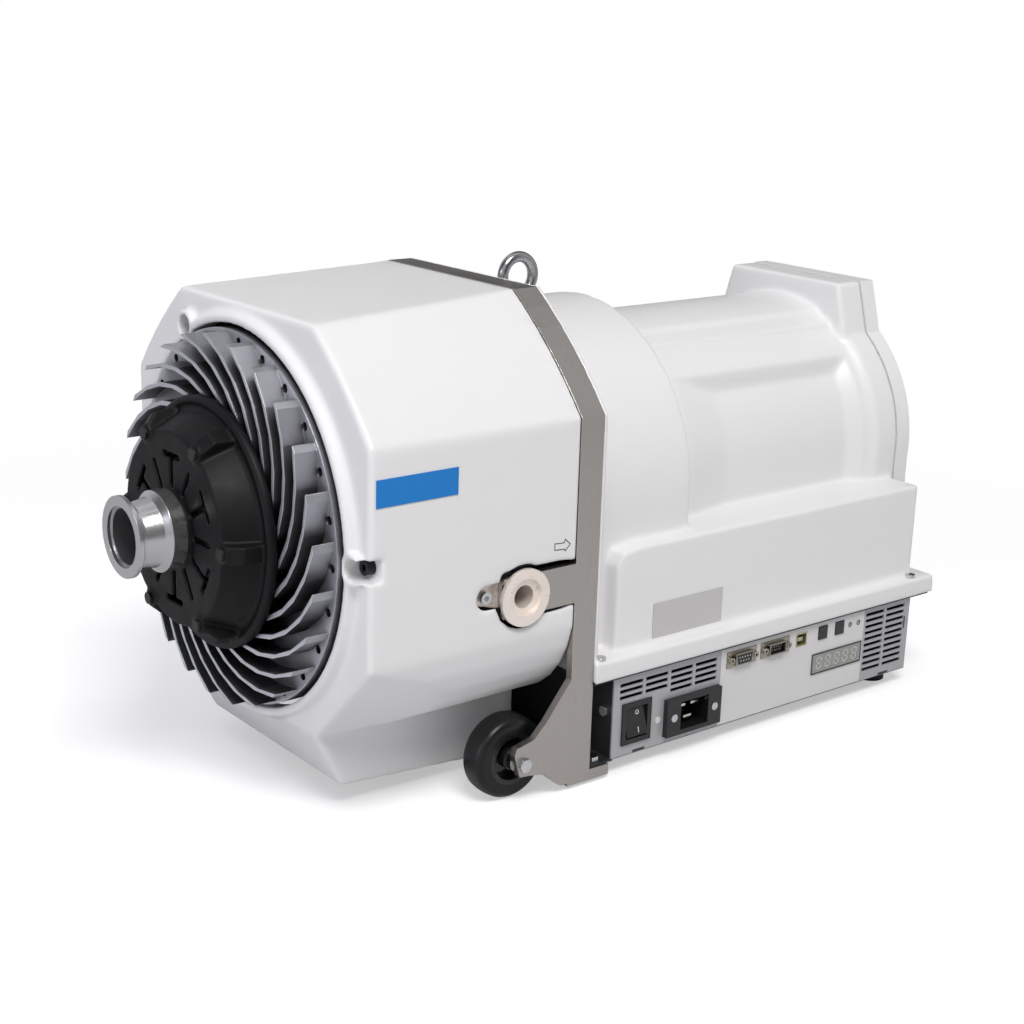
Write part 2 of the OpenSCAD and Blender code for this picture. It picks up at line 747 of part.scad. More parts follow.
// Shaft: crankpin, round cheek, front journal, motor shaft and tail in one piece
cheek_gap = 2;
cheek_x = plate_back + hub_len + cheek_gap;
cheek_t = 8;
cheek_r = 20;
motor_len = 228;
motor_end = motor_x + motor_len;
tail_len = 70;
journal_tail = 4;
weight_r = 62;
weight_t = 16;
weight_half = 50;
module crankshaft() {
    color([0.75, 0.75, 0.77]) union() {
        at_orbit() rod_x(plate_back + over, cheek_x + over, crankpin_r);
        on_shaft() rod_x(cheek_x, cheek_x + cheek_t, cheek_r);
        on_shaft() rod_x(cheek_x + over, wall_end + journal_tail + over, journal_r);
        on_shaft() rod_x(wall_end + journal_tail, motor_end, shaft_r);
        on_shaft() rod_x(motor_end - over, motor_end + tail_len, tail_r);
    }
}
module counterweight() {
    color([0.35, 0.35, 0.36]) on_shaft() difference() {
        union() {
            rod_x(cheek_x + cheek_t, cheek_x + cheek_t + weight_t, cheek_r);
            intersection() {
                rod_x(cheek_x + cheek_t, cheek_x + cheek_t + weight_t, weight_r);
                block([cheek_x, cheek_x + cheek_t + weight_t + over], [-weight_half, weight_half],
                    [-weight_r, -journal_r / 2]);
            }
        }
        rod_x(cheek_x, cheek_x + cheek_t + weight_t + over, journal_r);
    }
}
bearing_inset = 1;
module main_bearings() {
    color("silver") on_shaft() {
        ring_x(wall_x + bearing_inset, wall_end - bearing_inset, journal_r + run_fit, bearing_r);
        ring_x(motor_end + bell_seat, motor_end + bell_seat + bearing_len, tail_r + run_fit,
            rear_bearing_r);
    }
}
idler_cheek_gap = 2;
idler_cheek_t = 4;
idler_cheek_edge = 1.5;
idler_cheek_r = orbit_r + idler_pin_r + idler_cheek_edge;
idler_collar_r = 8.5;
idler_collar_t = 3;
idler_collar_gap = 0.5;
module idler_crank(a) {
    color([0.72, 0.72, 0.74]) on_shaft() at_angle(a, idler_at) union() {
        translate([0, 0, orbit_r])
            rod_x(plate_back - bush_depth + over, plate_back + idler_cheek_gap + over, idler_pin_r);
        rod_x(plate_back + idler_cheek_gap, plate_back + idler_cheek_gap + idler_cheek_t, idler_cheek_r);
        rod_x(plate_back + idler_cheek_gap + over, web_x + web_t + idler_collar_gap + idler_collar_t,
            idler_r);
        rod_x(web_x + web_t + idler_collar_gap, web_x + web_t + idler_collar_gap + idler_collar_t,
            idler_collar_r);
    }
}
module idler_crank_1() { idler_crank(idler_angles[0]); }
module idler_crank_2() { idler_crank(idler_angles[1]); }
module idler_crank_3() { idler_crank(idler_angles[2]); }
module idler_bearings() {
    color("silver") at_idlers()
        ring_x(web_x + bearing_inset, web_x + web_t - bearing_inset, idler_r + run_fit, idler_bearing_r);
}

// Motor: housing on two feet, core, windings, rotor and end bell
motor_flange_t = 8;
motor_flange_r = 103;
foot_in = 35;
foot_out = 60;
foot_len = 150;
foot_start = 30;
eye_boss_r = 15;
eye_boss_gap = 1.2;
eye_shank_r = 4;
eye_shank = 18;
stator_lead = 53;
stator_x = motor_x + stator_lead;
stator_len = 110;
winding_len = 15;
winding_r = 54;
winding_wall = 26;
bell_t = 25;
bell_seat = 5;
bell_hole_r = 14;
bell_bolt_at = motor_r - motor_wall / 2;
bell_bolt_r = 2;
bell_bolt_head_r = 3.5;
bell_bolt_head_h = 3;
bell_bolt_depth = 20;
bell_bolt_n = 4;
drum_inner = drum_r - cover_wall;
lid_top = box_top + sheet_t;
module motor_housing() {
    color([0.2, 0.2, 0.22]) difference() {
        union() {
            on_shaft() rod_x(motor_x, motor_end, motor_r);
            on_shaft() rod_x(motor_x, motor_x + motor_flange_t, motor_flange_r);
            for (s = [-1, 1]) block([motor_x + foot_start, motor_x + foot_start + foot_len],
                s > 0 ? [foot_in, foot_out] : [-foot_out, -foot_in], [lid_top, shaft_h - foot_out]);
            translate([eye_x, 0, shaft_h]) cylinder(h = drum_inner - eye_boss_gap, r = eye_boss_r);
        }
        on_shaft() rod_x(motor_x - over, motor_end + over, motor_r - motor_wall);
        translate([eye_x, 0, shaft_h + drum_inner - eye_shank])
            cylinder(h = eye_shank + over, r = eye_shank_r + run_fit);
        at_bell_bolts() rod_x(motor_end - bell_bolt_depth, motor_end + over, bell_bolt_r + run_fit);
    }
}
module stator_core() {
    color([0.4, 0.4, 0.42]) on_shaft()
        ring_x(stator_x, stator_x + stator_len, rotor_r + air_gap, motor_r - motor_wall);
}
module stator_windings() {
    color([0.72, 0.4, 0.18]) on_shaft() for (x = [stator_x - winding_len, stator_x + stator_len])
        ring_x(x, x + winding_len, winding_r, winding_r + winding_wall);
}
module rotor_core() {
    color([0.5, 0.5, 0.52]) on_shaft() ring_x(stator_x, stator_x + stator_len, shaft_r, rotor_r);
}
module end_bell() {
    color([0.25, 0.25, 0.27]) difference() {
        on_shaft() rod_x(motor_end, motor_end + bell_t, motor_r);
        on_shaft() rod_x(motor_end - over, motor_end + bell_seat + bearing_len, rear_bearing_r);
        on_shaft() rod_x(motor_end, motor_end + bell_t + over, bell_hole_r);
        at_bell_bolts() rod_x(motor_end - over, motor_end + bell_t + over, bell_bolt_r + run_fit);
    }
}
module motor_bolts() {
    color("silver") at_bell_bolts() {
        rod_x(motor_end - bell_bolt_depth + over, motor_end + bell_t, bell_bolt_r);
        rod_x(motor_end + bell_t, motor_end + bell_t + bell_bolt_head_h, bell_bolt_head_r);
    }
}
fan_gap = 8;
fan_x = motor_end + bell_t + fan_gap;
fan_len = 32;
fan_hub_r = 24;
fan_blades = 9;
fan_blade_t = 3;
fan_plate_t = 3;
module cooling_fan() {
    color([0.15, 0.15, 0.16]) on_shaft() difference() {
        union() {
            rod_x(fan_x, fan_x + fan_len, fan_hub_r);
            rod_x(fan_x, fan_x + fan_plate_t, fan_r);
            for (k = [1 : fan_blades]) rotate([k * 360 / fan_blades, 0, 0])
                block([fan_x, fan_x + fan_len], [fan_hub_r - over, fan_r - over], [0, fan_blade_t]);
        }
        rod_x(fan_x - over, fan_x + fan_len + over, tail_r);
    }
}

// Cowl: moulded shell over the motor, with a drum, a stepped tunnel, a box below and a flared rim
cowl_x = band_x + band_w + seam;
drum_x = band_x + drum_end;
grille_len = 15;
rim_len = 21;
flare_len = 24;
recess_len = 137;
lower_short = 20;
rim_end = grille_end - grille_len;
flare_back = rim_end - rim_len;
flare_x = flare_back - flare_len;
recess_x = flare_x - recess_len;
lower_end = grille_end - lower_short;
lip_end = grille_end - lip_short;
plateau_half = 22;
step_half = 31;
plateaus = [[plateau_r, plateau_half], [(plateau_r + motor_cowl_r) / 2, step_half]];
recess_side = 79;
recess_ramp = 48;
recess_back = 3;
recess_rise = 12;
flare_sink = 8;
flat_spread = 37;
flat_lead = 6;
flat_lean = 3;
rim_low = lip_top - cover_wall;
cowl_hole_r = 126;
shelf_lead = 47;
shelf_x = band_x + shelf_lead;
shelf_round = 12;
sector_n = 8;
leg_step = 0.5;
eye_hole_fit = 0.3;
// The flat block on top of the rim, wider at its foot
function flat_points(inset) = let (top = flat_top - shaft_h - inset)
    [[inset - flat_half - flat_spread, 0], [inset - flat_half, top],
        [flat_half - inset, top], [flat_half + flat_spread - inset, 0]];
module rim_solid(x1, x2, inset, low) {
    intersection() {
        union() {
            rod_x(x1, x2, rim_r - inset);
            block([x1, x2], [inset + leg_step - rim_r, rim_r - inset - leg_step], [low - shaft_h, 0]);
            along_x(x1, x2) polygon(flat_points(inset));
        }
        block([x1 - over, x2 + over], [-rim_r - over, rim_r + over], [low - shaft_h, flat_top]);
    }
}
module sector(a1, a2, r) {
    polygon(concat([[0, 0]], [for (k = [0 : sector_n]) let (a = a1 + (a2 - a1) * k / sector_n)
        [-r * cos(a), r * sin(a)]]));
}
// The flare rises along a ramp to the rim, then goes straight down below the shaft
module flare_solid(inset, rear) {
    x1 = flare_x + inset;
    x2 = flare_back + inset;
    half = [[0, x1], [motor_cowl_r - flare_sink - inset, x1], [rim_r - inset + over, x2],
        [rim_r - inset + over, rear + over], [0, rear + over]];
    intersection() {
        rim_solid(x1, rear, inset, rim_low);
        union() {
            turned_x(half);
            for (s = [0, 1]) mirror([0, s, 0]) sides_down(half, rim_low);
        }
    }
    intersection() {
        along_x(x1, rear) polygon(flat_points(inset));
        along_y(-rim_r, rim_r) polygon([[x2 - flat_lead - flat_lean, 0],
            [x2 - flat_lead, flat_top - shaft_h], [rear + over, flat_top - shaft_h], [rear + over, 0]]);
    }
}
// A profile of [radius, X] pairs drawn straight down from the shaft's height on the panel side
module sides_down(profile, low) {
    translate([0, 0, low - shaft_h]) linear_extrude(shaft_h - low)
        polygon([for (p = profile) [p[1], -p[0]]]);
}
module lower_profile(inset) {
    polygon([
        [shelf_x + inset, inset > 0 ? lid_top - over : lid_top],
        [shelf_x + inset, lower_top - shelf_round],
        [shelf_x + shelf_round * slant_share + inset, lower_top - shelf_round * slant_share / 2 - inset],
        [shelf_x + shelf_round * 2, lower_top - inset],
        [lower_end - inset, lower_top - inset],
        [lower_end - inset, inset > 0 ? lid_top - over : lid_top]]);
}
module cowl_solid(inset, front, rear) {
    low = inset > 0 ? lid_top - over : lid_top;
    on_shaft() {
        rod_x(front, drum_x - inset, drum_r - inset);
        rod_x(drum_x - inset - over, flare_back, motor_cowl_r - inset);
        for (p = plateaus) intersection() {
            rod_x(drum_x - inset - over, flare_back, p[0] - inset);
            along_x(drum_x - inset - over, flare_back) sector(90 - p[1] + asin(inset / p[0]),
                90 + p[1] - asin(inset / p[0]), plateau_r * 2);
        }
        flare_solid(inset, rear);
    }
    block([drum_x - inset - over, flare_back], [inset + leg_step - motor_cowl_r,
        motor_cowl_r - inset - leg_step], [low, shaft_h]);
    block([front, drum_x - inset], [inset + leg_step - drum_r, drum_r - inset - leg_step], [low, shaft_h]);
    along_y(inset - lower_half, lower_half - inset) lower_profile(inset);
    block([front, lip_end - inset], [inset - half_w, half_w - inset], [low, lip_top - inset]);
}
module rear_cowl() {
    color("white") difference() {
        union() {
            cowl_solid(0, cowl_x, rim_end);
            along_x(cowl_x, cowl_x + cover_wall) polygon(concat(crown(0),
                [[band_half, lid_top], [-band_half, lid_top]]));
        }
        difference() {
            cowl_solid(cover_wall, cowl_x + cover_wall, rim_end + over);
            cowl_recess(cover_wall);
        }
        cowl_recess(0);
        block([cowl_x - over, drum_x + over], [-drum_r, drum_r], [shaft_h - drum_r - over, lid_top]);
        on_shaft() rod_x(cowl_x - over, cowl_x + cover_wall + over, cowl_hole_r - over);
        translate([eye_x, 0, shaft_h]) cylinder(h = drum_r + over, r = eye_shank_r + eye_hole_fit);
        for (x = cowl_screw_x, s = [-1, 1]) translate([x, s * cowl_screw_y, 0])
            cylinder(h = lip_top + over, r = screw_r + run_fit);
    }
}
// Side panels sunk into the tunnel with sloped ends; the inner face keeps the wall all round
module cowl_recess(wall) {
    foot = recess_r - wall;
    top = motor_cowl_r + over - wall;
    half = [[foot, recess_x - wall], [top, recess_x - recess_ramp - wall],
        [top, flare_x + recess_rise + wall], [foot, flare_x - recess_back + wall]];
    on_shaft() for (s = [0, 1]) mirror([0, s, 0]) {
        intersection() {
            turned_x(half);
            block([drum_x, flare_back], [-top - over, wall - recess_side], [0, top + over]);
        }
        sides_down(half, lower_top - wall);
    }
}
screw_r = 2;
screw_head_r = 4;
screw_head_h = 2;
screw_len = 15.5;
cowl_screw_lead = 29;
cowl_screw_tail = 22;
cowl_screw_in = 6.5;
cowl_screw_x = [band_x + cowl_screw_lead, lip_end - cowl_screw_tail];
cowl_screw_y = half_w - cowl_screw_in;
module cowl_screws() {
    color("silver") {
        for (x = cowl_screw_x, s = [-1, 1]) translate([x, s * cowl_screw_y, 0]) {
            translate([0, 0, lip_top]) cylinder(h = screw_head_h, r = screw_head_r);
            translate([0, 0, lip_top - screw_len]) cylinder(h = screw_len, r = screw_r);
        }
    }
}
grille_wall = 3;
grille_slot = 5;
grille_pitch = 10;
grille_rows = 19;
grille_r = 98;
module rear_grille() {
    color("white") difference() {
        on_shaft() rim_solid(rim_end + seam, grille_end, 0, lip_top + seam);
        on_shaft() rim_solid(rim_end, grille_end - grille_wall, grille_wall, lip_top + grille_wall);
        on_shaft() intersection() {
            rod_x(grille_end - grille_wall - over, grille_end + over, grille_r);
            for (k = [0 : grille_rows - 1]) translate([0, 0, (k - (grille_rows - 1) / 2) * grille_pitch])
                block([grille_end - grille_wall - over, grille_end + over], [-grille_r, grille_r],
                    [-grille_slot / 2, grille_slot / 2]);
        }
    }
}

// Control box: folded sheet tray with its lid, a tongue over the band's feet and the panel on the left
panel_y = -box_half;
lid_reach = half_w - sheet_t;
lid_end = lip_end - cover_wall - seam;
tongue_z = foot_top;
standoff_r = 4;
standoff_h = 9;
board_t = 2;
board_lead = 15;
board_len = 200;
board_side = 35;
board_wide = 180;
board_x = [box_x + board_lead, box_x + board_lead + board_len];
board_y = [board_side - box_half, board_side - box_half + board_wide];
board_in = 8;
capacitor_r = 14;
capacitor_h = 38;
capacitor_in = 35;
capacitor_y = board_y[1] - capacitor_in;
capacitor_n = 3;
capacitor_pitch = 45;
module control_box() {
    color([0.25, 0.26, 0.27]) difference() {
        union() {
            block([box_x, box_end], [panel_y + sheet_t, box_half], [box_low, box_top + over / 2]);
            block([cowl_x, lid_end], [-lid_reach, lid_reach], [box_top, lid_top]);
            block([cowl_x, box_x + sheet_t], [-box_half, box_half], [tongue_z, tongue_z + sheet_t]);
        }
        difference() {
            block([box_x + sheet_t, box_end - sheet_t], [panel_y, box_half - sheet_t],
                [box_low + sheet_t, box_top]);
            for (x = board_x, y = board_y) translate([x == board_x[0] ? x + board_in : x - board_in,
                y == board_y[0] ? y + board_in : y - board_in,
                    box_low]) cylinder(h = standoff_h + sheet_t, r = standoff_r);
        }
        for (s = [-1, 1]) translate([foot_bolt_x, s * foot_bolt_y, tongue_z - over])
            cylinder(h = sheet_t + over * 2, r = foot_bolt_r + run_fit);
        for (x = cowl_screw_x, s = [-1, 1]) translate([x, s * cowl_screw_y, box_top - over])
            cylinder(h = sheet_t + over * 2, r = screw_r + run_fit);
    }
}
module inverter_board() {
    color([0.1, 0.35, 0.18]) block(board_x, board_y,
        [box_low + sheet_t + standoff_h, box_low + sheet_t + standoff_h + board_t]);
}
module capacitors() {
    color([0.15, 0.2, 0.35]) for (k = [0 : capacitor_n - 1])
        translate([(board_x[0] + board_x[1]) / 2 + k * capacitor_pitch - capacitor_pitch,
            capacitor_y, box_low + sheet_t + standoff_h + board_t]) cylinder(h = capacitor_h,
                r = capacitor_r);
}

// Panel: a sheet with its cut-outs, each placed by shares of the panel's length and height
panel_h = box_top - box_low;
function across(share) = box_x + box_len * share;
function up(share) = box_low + panel_h * share;
switch_shares = [0.0696, 0.39];
mains_shares = [0.24, 0.32];
remote_shares = [0.396, 0.82];
analog_shares = [0.508, 0.82];
usb_shares = [0.6, 0.82];
up_shares = [0.675, 0.835];
down_shares = [0.735, 0.835];
led_shares = [[0.773, 0.835], [0.803, 0.835]];
display_shares = [0.731, 0.44];
label_shares = [0.33, 0.826];
bezel_w = 28;
bezel_h = 32;
bezel_wall = 4;
bezel_proud = 1.5;
rocker_gap = 0.4;
rocker_depth = 12;
mains_w = 55;
mains_h = 29;
mains_proud = 4.5;
mains_depth = 22;
socket_w = 28;
socket_h = 22;
mains_wall = 2;
mains_screw_at = 20.5;
blade_w = 8;
blade_t = 2;
blade_len = 17;
dsub_w = 31;
dsub_h = 12.5;
dsub_t = 1;
shell_w = 18;
shell_h = 9;
shell_len = 4;
jack_at = 12.5;
jack_r = 2.5;
usb_w = 12;
usb_h = 11;
usb_depth = 12;
usb_wall = 1;
usb_proud = 0.5;
button_w = 9.5;
button_h = 10.5;
button_rest = 0.2;
button_proud = button_travel + button_rest;
button_fit = 0.3;
button_flange = 1.5;
led_r = 1.6;
led_len = 3;
led_proud = 0.6;
display_w = 57;
display_h = 16.5;
display_t = 1;
vent_h = 2.9;
vent_share = 0.0683;
vent_gap_share = 0.0085;
left_vent_shares = [0.0186, 0.6984];
right_vent_shares = [0.8347, 0.127];
left_vent_rows = [3, 3, 4, 4];
right_vent_rows = [10, 10];
left_vent_pitch = 4.85;
right_vent_pitch = 5.2;
module at_share(shares) {
    translate([across(shares[0]), 0, up(shares[1])]) children();
}
module panel_hole(shares, w, h) {
    at_share(shares)
        block([-w / 2, w / 2], [panel_y - over, panel_y + sheet_t + over], [-h / 2, h / 2]);
}
// Columns of vent slots; rows are added below the first column's lowest row
module vents(shares, rows, pitch) {
    for (c = [0 : len(rows) - 1], r = [rows[0] - rows[c] : rows[0] - 1])
        translate([0, 0, up(shares[1]) + r * pitch]) block(
            [across(shares[0] + c * (vent_share + vent_gap_share)),
                across(shares[0] + c * (vent_share + vent_gap_share) + vent_share)],
            [panel_y - over, panel_y + sheet_t + over], [0, vent_h]);
}
module io_panel() {
    color([0.75, 0.75, 0.76]) difference() {
        block([box_x, box_end], [panel_y, panel_y + sheet_t], [box_low, box_top]);
        panel_hole(switch_shares, bezel_w - bezel_wall, bezel_h - bezel_wall);
        panel_hole(mains_shares, socket_w + mains_wall * 2, socket_h + mains_wall * 2);
        panel_hole(remote_shares, shell_w, shell_h);
        panel_hole(analog_shares, shell_w, shell_h);
        panel_hole(usb_shares, usb_w, usb_h);
        panel_hole(up_shares, button_w + button_fit * 2, button_h + button_fit * 2);
        panel_hole(down_shares, button_w + button_fit * 2, button_h + button_fit * 2);
        for (s = led_shares) at_share(s) rod_y(panel_y - over, panel_y + sheet_t + over, led_r);
        vents(left_vent_shares, left_vent_rows, left_vent_pitch);
        vents(right_vent_shares, right_vent_rows, right_vent_pitch);
    }
}
label_t = 0.3;
module label_hole(shares, w, h) {
    at_share(shares)
        block([-w / 2, w / 2], [panel_y - label_t - over, panel_y + over], [-h / 2, h / 2]);
}
module panel_label() {
    color([0.85, 0.85, 0.86]) difference() {
        block([across(label_shares[0]), across(label_shares[1])], [panel_y - label_t, panel_y],
            [box_low + over, box_top - over]);
        label_hole(remote_shares, dsub_w + seam, dsub_h + seam);
        label_hole(analog_shares, dsub_w + seam, dsub_h + seam);
        label_hole(usb_shares, usb_w + seam, usb_h + seam);
        label_hole(up_shares, button_w + button_fit * 2, button_h + button_fit * 2);
        label_hole(down_shares, button_w + button_fit * 2, button_h + button_fit * 2);
        label_hole(display_shares, display_w, display_h);
        for (s = led_shares) at_share(s) rod_y(panel_y - label_t - over, panel_y + over, led_r);
    }
}
module switch_bezel() {
    color("black") at_share(switch_shares) difference() {
        union() {
            block([-bezel_w / 2, bezel_w / 2], [panel_y - bezel_proud, panel_y], [-bezel_h / 2,
                bezel_h / 2]);
            block([(bezel_wall - bezel_w) / 2, (bezel_w - bezel_wall) / 2], [panel_y - over,
                panel_y + rocker_depth + sheet_t],
                [(bezel_wall - bezel_h) / 2, (bezel_h - bezel_wall) / 2]);
        }
        block([bezel_wall - bezel_w / 2, bezel_w / 2 - bezel_wall], [panel_y - bezel_proud - over,
            panel_y + rocker_depth],
            [bezel_wall - bezel_h / 2, bezel_h / 2 - bezel_wall]);
        translate([0, panel_y + rocker_pivot, 0]) rod_x(-bezel_w / 2, bezel_w / 2, rocker_pin_r + run_fit);
    }
}
rocker_pivot = 4;
rocker_clear = 1.8;
rocker_pin_r = 1.2;
rocker_pin_len = 1.5;
rocker_half_h = bezel_h / 2 - bezel_wall - rocker_clear;
rocker_shares = [[-0.65, 1], [-1.05, 0], [-1.65, -1], [0.75, -0.75], [0.75, 0.75]];
module power_rocker() {
    side = bezel_w / 2 - bezel_wall - rocker_gap;
    color([0.06, 0.06, 0.06]) at_share(switch_shares) translate([0, panel_y + rocker_pivot, 0]) {
        along_x(-side, side) polygon([for (s = rocker_shares) [s[0] * rocker_pivot, s[1] * rocker_half_h]]);
        rod_x(-side - rocker_pin_len, side + rocker_pin_len, rocker_pin_r);
    }
}
module push_button(shares) {
    color([0.2, 0.2, 0.22]) at_share(shares) {
        block([-button_w / 2, button_w / 2], [panel_y - button_proud, panel_y + sheet_t + over],
            [-button_h / 2, button_h / 2]);
        block([-button_w / 2 - over, button_w / 2 + over], [panel_y + sheet_t + button_fit,
            panel_y + sheet_t + button_fit + button_flange],
            [-button_h / 2 - over, button_h / 2 + over]);
    }
}
module up_button() { push_button(up_shares); }
module down_button() { push_button(down_shares); }
module status_leds() {
    color([0.8, 0.25, 0.1]) for (s = led_shares) at_share(s)
        rod_y(panel_y - led_proud, panel_y + led_len, led_r);
}
module display_window() {
    color([0.6, 0.62, 0.6]) at_share(display_shares)
        block([-display_w / 2, display_w / 2], [panel_y - display_t, panel_y], [-display_h / 2,
            display_h / 2]);
}
module mains_inlet() {
    color([0.05, 0.05, 0.05]) at_share(mains_shares) difference() {
        union() {
            block([-mains_w / 2, mains_w / 2], [panel_y - mains_proud, panel_y], [-mains_h / 2,
                mains_h / 2]);
            block([-socket_w / 2 - mains_wall, socket_w / 2 + mains_wall], [panel_y - over,
                panel_y + mains_depth],
                [-socket_h / 2 - mains_wall, socket_h / 2 + mains_wall]);
        }
        block([-socket_w / 2, socket_w / 2], [panel_y - mains_proud - over,
            panel_y + mains_depth - mains_wall],
            [-socket_h / 2, socket_h / 2]);
        for (s = [-1, 1]) translate([s * mains_screw_at, 0, 0])
            rod_y(panel_y - mains_proud - over, panel_y + over, screw_r + run_fit);
    }
}
blade_shares = [[-0.24, 0.2], [0.24, 0.2], [0, -0.24]];
module inlet_blades() {
    color("silver") for (s = blade_shares)
        translate([across(mains_shares[0]) + s[0] * socket_w, panel_y + mains_depth - mains_wall,
            up(mains_shares[1]) + s[1] * socket_h])
            block([-blade_w / 2, blade_w / 2], [-blade_len, 0], [-blade_t / 2, blade_t / 2]);
}
panel_screw_r = 3;
panel_screw_h = 0.5;
end_screw_in = 9;
end_screw_z = 47;
module panel_screws() {
    color("silver") {
        for (s = [-1, 1]) at_share(mains_shares) translate([s * mains_screw_at, 0, 0]) {
            rod_y(panel_y - mains_proud - panel_screw_h, panel_y - mains_proud, panel_screw_r);
            rod_y(panel_y - mains_proud, panel_y - over / 2, screw_r);
        }
        for (s = [-1, 1]) translate([0, s * (box_half - end_screw_in), end_screw_z])
            rod_x(box_x - screw_head_h, box_x, screw_head_r);
    }
}
jack_hole_r = 1;
pin_r = 0.5;
pin_pitch = 2.7;
shell_wall = 0.8;
shell_back = 7;
module dsub(shares) {
    at_share(shares) difference() {
        union() {
            block([-dsub_w / 2, dsub_w / 2], [panel_y - dsub_t, panel_y], [-dsub_h / 2, dsub_h / 2]);
            block([-shell_w / 2, shell_w / 2], [panel_y - shell_len, panel_y + shell_back],
                [-shell_h / 2, shell_h / 2]);
            for (s = [-1, 1]) translate([s * jack_at, 0, 0]) rod_y(panel_y - shell_len, panel_y, jack_r);
        }
        for (s = [-1, 1]) translate([s * jack_at, 0, 0])
            rod_y(panel_y - shell_len - over, panel_y - over / 2, jack_hole_r);
        children();
    }
}
module at_pins() {
    for (r = [0, 1], k = [0 : 4 - r])
        translate([(k - 2 + r / 2) * pin_pitch, 0, (r - 0.5) * -pin_pitch]) children();
}
module remote_socket() {
    color([0.4, 0.38, 0.34]) dsub(remote_shares)
        at_pins() rod_y(panel_y - shell_len - over, panel_y + shell_back / 2, pin_r);
}
module analog_plug() {
    color([0.45, 0.42, 0.36]) {
        dsub(analog_shares)
            block([shell_wall - shell_w / 2, shell_w / 2 - shell_wall],
                [panel_y - shell_len - over, panel_y + shell_back - shell_wall],
                    [shell_wall - shell_h / 2, shell_h / 2 - shell_wall]);
        at_share(analog_shares) at_pins()
            rod_y(panel_y - shell_len / 2, panel_y + shell_back - shell_wall / 2, pin_r);
    }
}
usb_tongue_w = 5.6;
usb_tongue_h = 3.2;
module usb_socket() {
    color([0.75, 0.72, 0.6]) at_share(usb_shares) {
        difference() {
            block([-usb_w / 2, usb_w / 2], [panel_y - usb_proud, panel_y + usb_depth], [-usb_h / 2,
                usb_h / 2]);
            block([usb_wall - usb_w / 2, usb_w / 2 - usb_wall], [panel_y - usb_proud - over,
                panel_y + usb_depth - usb_wall],
                [usb_wall - usb_h / 2, usb_h / 2 - usb_wall]);
        }
        block([-usb_tongue_w / 2, usb_tongue_w / 2], [panel_y + usb_wall,
            panel_y + usb_depth - usb_wall / 2],
            [-usb_tongue_h / 2, usb_tongue_h / 2]);
    }
}

// Band frame: bent stainless strip round the pump, with caster ears, feet and the arm to the exhaust
ear_shares = [[-0.2, 1.1], [0, 1], [0.45, 0.66], [0.65, 0.545], [0.97, 0.5], [1, 0.43],
    [0.9, 0.23], [0.72, 0.22], [0.46, 0.187], [0.13, 0.03], [-0.2, 0.03]];
foot_w = 17;
foot_bolt_back = 9;
foot_bolt_in = 9;
foot_bolt_x = band_x + band_w + foot_bolt_back;
foot_bolt_y = band_half - foot_bolt_in;
foot_bolt_r = 3;
neck_r = 12;
neck_fit = 0.3;
arm_sink = 2.4;
module strap_outline(inset, low) {
    polygon(concat(crown(inset), [[band_half - inset, low], [inset - band_half, low]]));
}
module strap_frame() {
    color([0.6, 0.58, 0.55]) difference() {
        union() {
            along_x(band_x, band_x + band_w) difference() {
                strap_outline(0, foot_gap);
                strap_outline(band_t, foot_top);
            }
            for (s = [0, 1]) mirror([0, s, 0]) {
                along_y(-band_half, band_t - band_half)
                    polygon([for (p = ear_shares) [band_x - p[0] * ear_reach,
                        foot_gap + p[1] * (ear_top - foot_gap)]]);
                block([band_x, band_x + band_w + foot_tail], [-band_half, foot_w - band_half],
                    [foot_gap, foot_top]);
            }
            block([band_x - arm_reach, band_x + over], [-band_half, arm_t - band_half], [arm_low,
                arm_high]);
        }
        for (s = [-1, 1]) {
            translate([axle_x, 0, wheel_r]) rod_y(s > 0 ? band_half - band_t - over : -band_half - over,
                s > 0 ? band_half + over : band_t - band_half + over, axle_r + run_fit);
            translate([foot_bolt_x, s * foot_bolt_y, foot_gap - over])
                cylinder(h = foot_t + over * 2, r = foot_bolt_r + run_fit);
        }
        translate([exhaust_x, 0, exhaust_h]) {
            rod_y(-band_half - over, arm_sink - band_half, exhaust_flange_r + neck_fit);
            rod_y(-band_half - over, arm_t - band_half + over, neck_r + neck_fit);
        }
    }
}
foot_bolt_head_r = 5.5;
foot_bolt_head_h = 4;
module foot_bolts() {
    color("silver") for (s = [-1, 1]) translate([foot_bolt_x, s * foot_bolt_y, 0]) {
        translate([0, 0, foot_top + sheet_t]) cylinder(h = foot_bolt_head_h, r = foot_bolt_head_r, $fn = 6);
        translate([0, 0, foot_gap + over]) cylinder(h = foot_t + sheet_t - over, r = foot_bolt_r);
    }
}

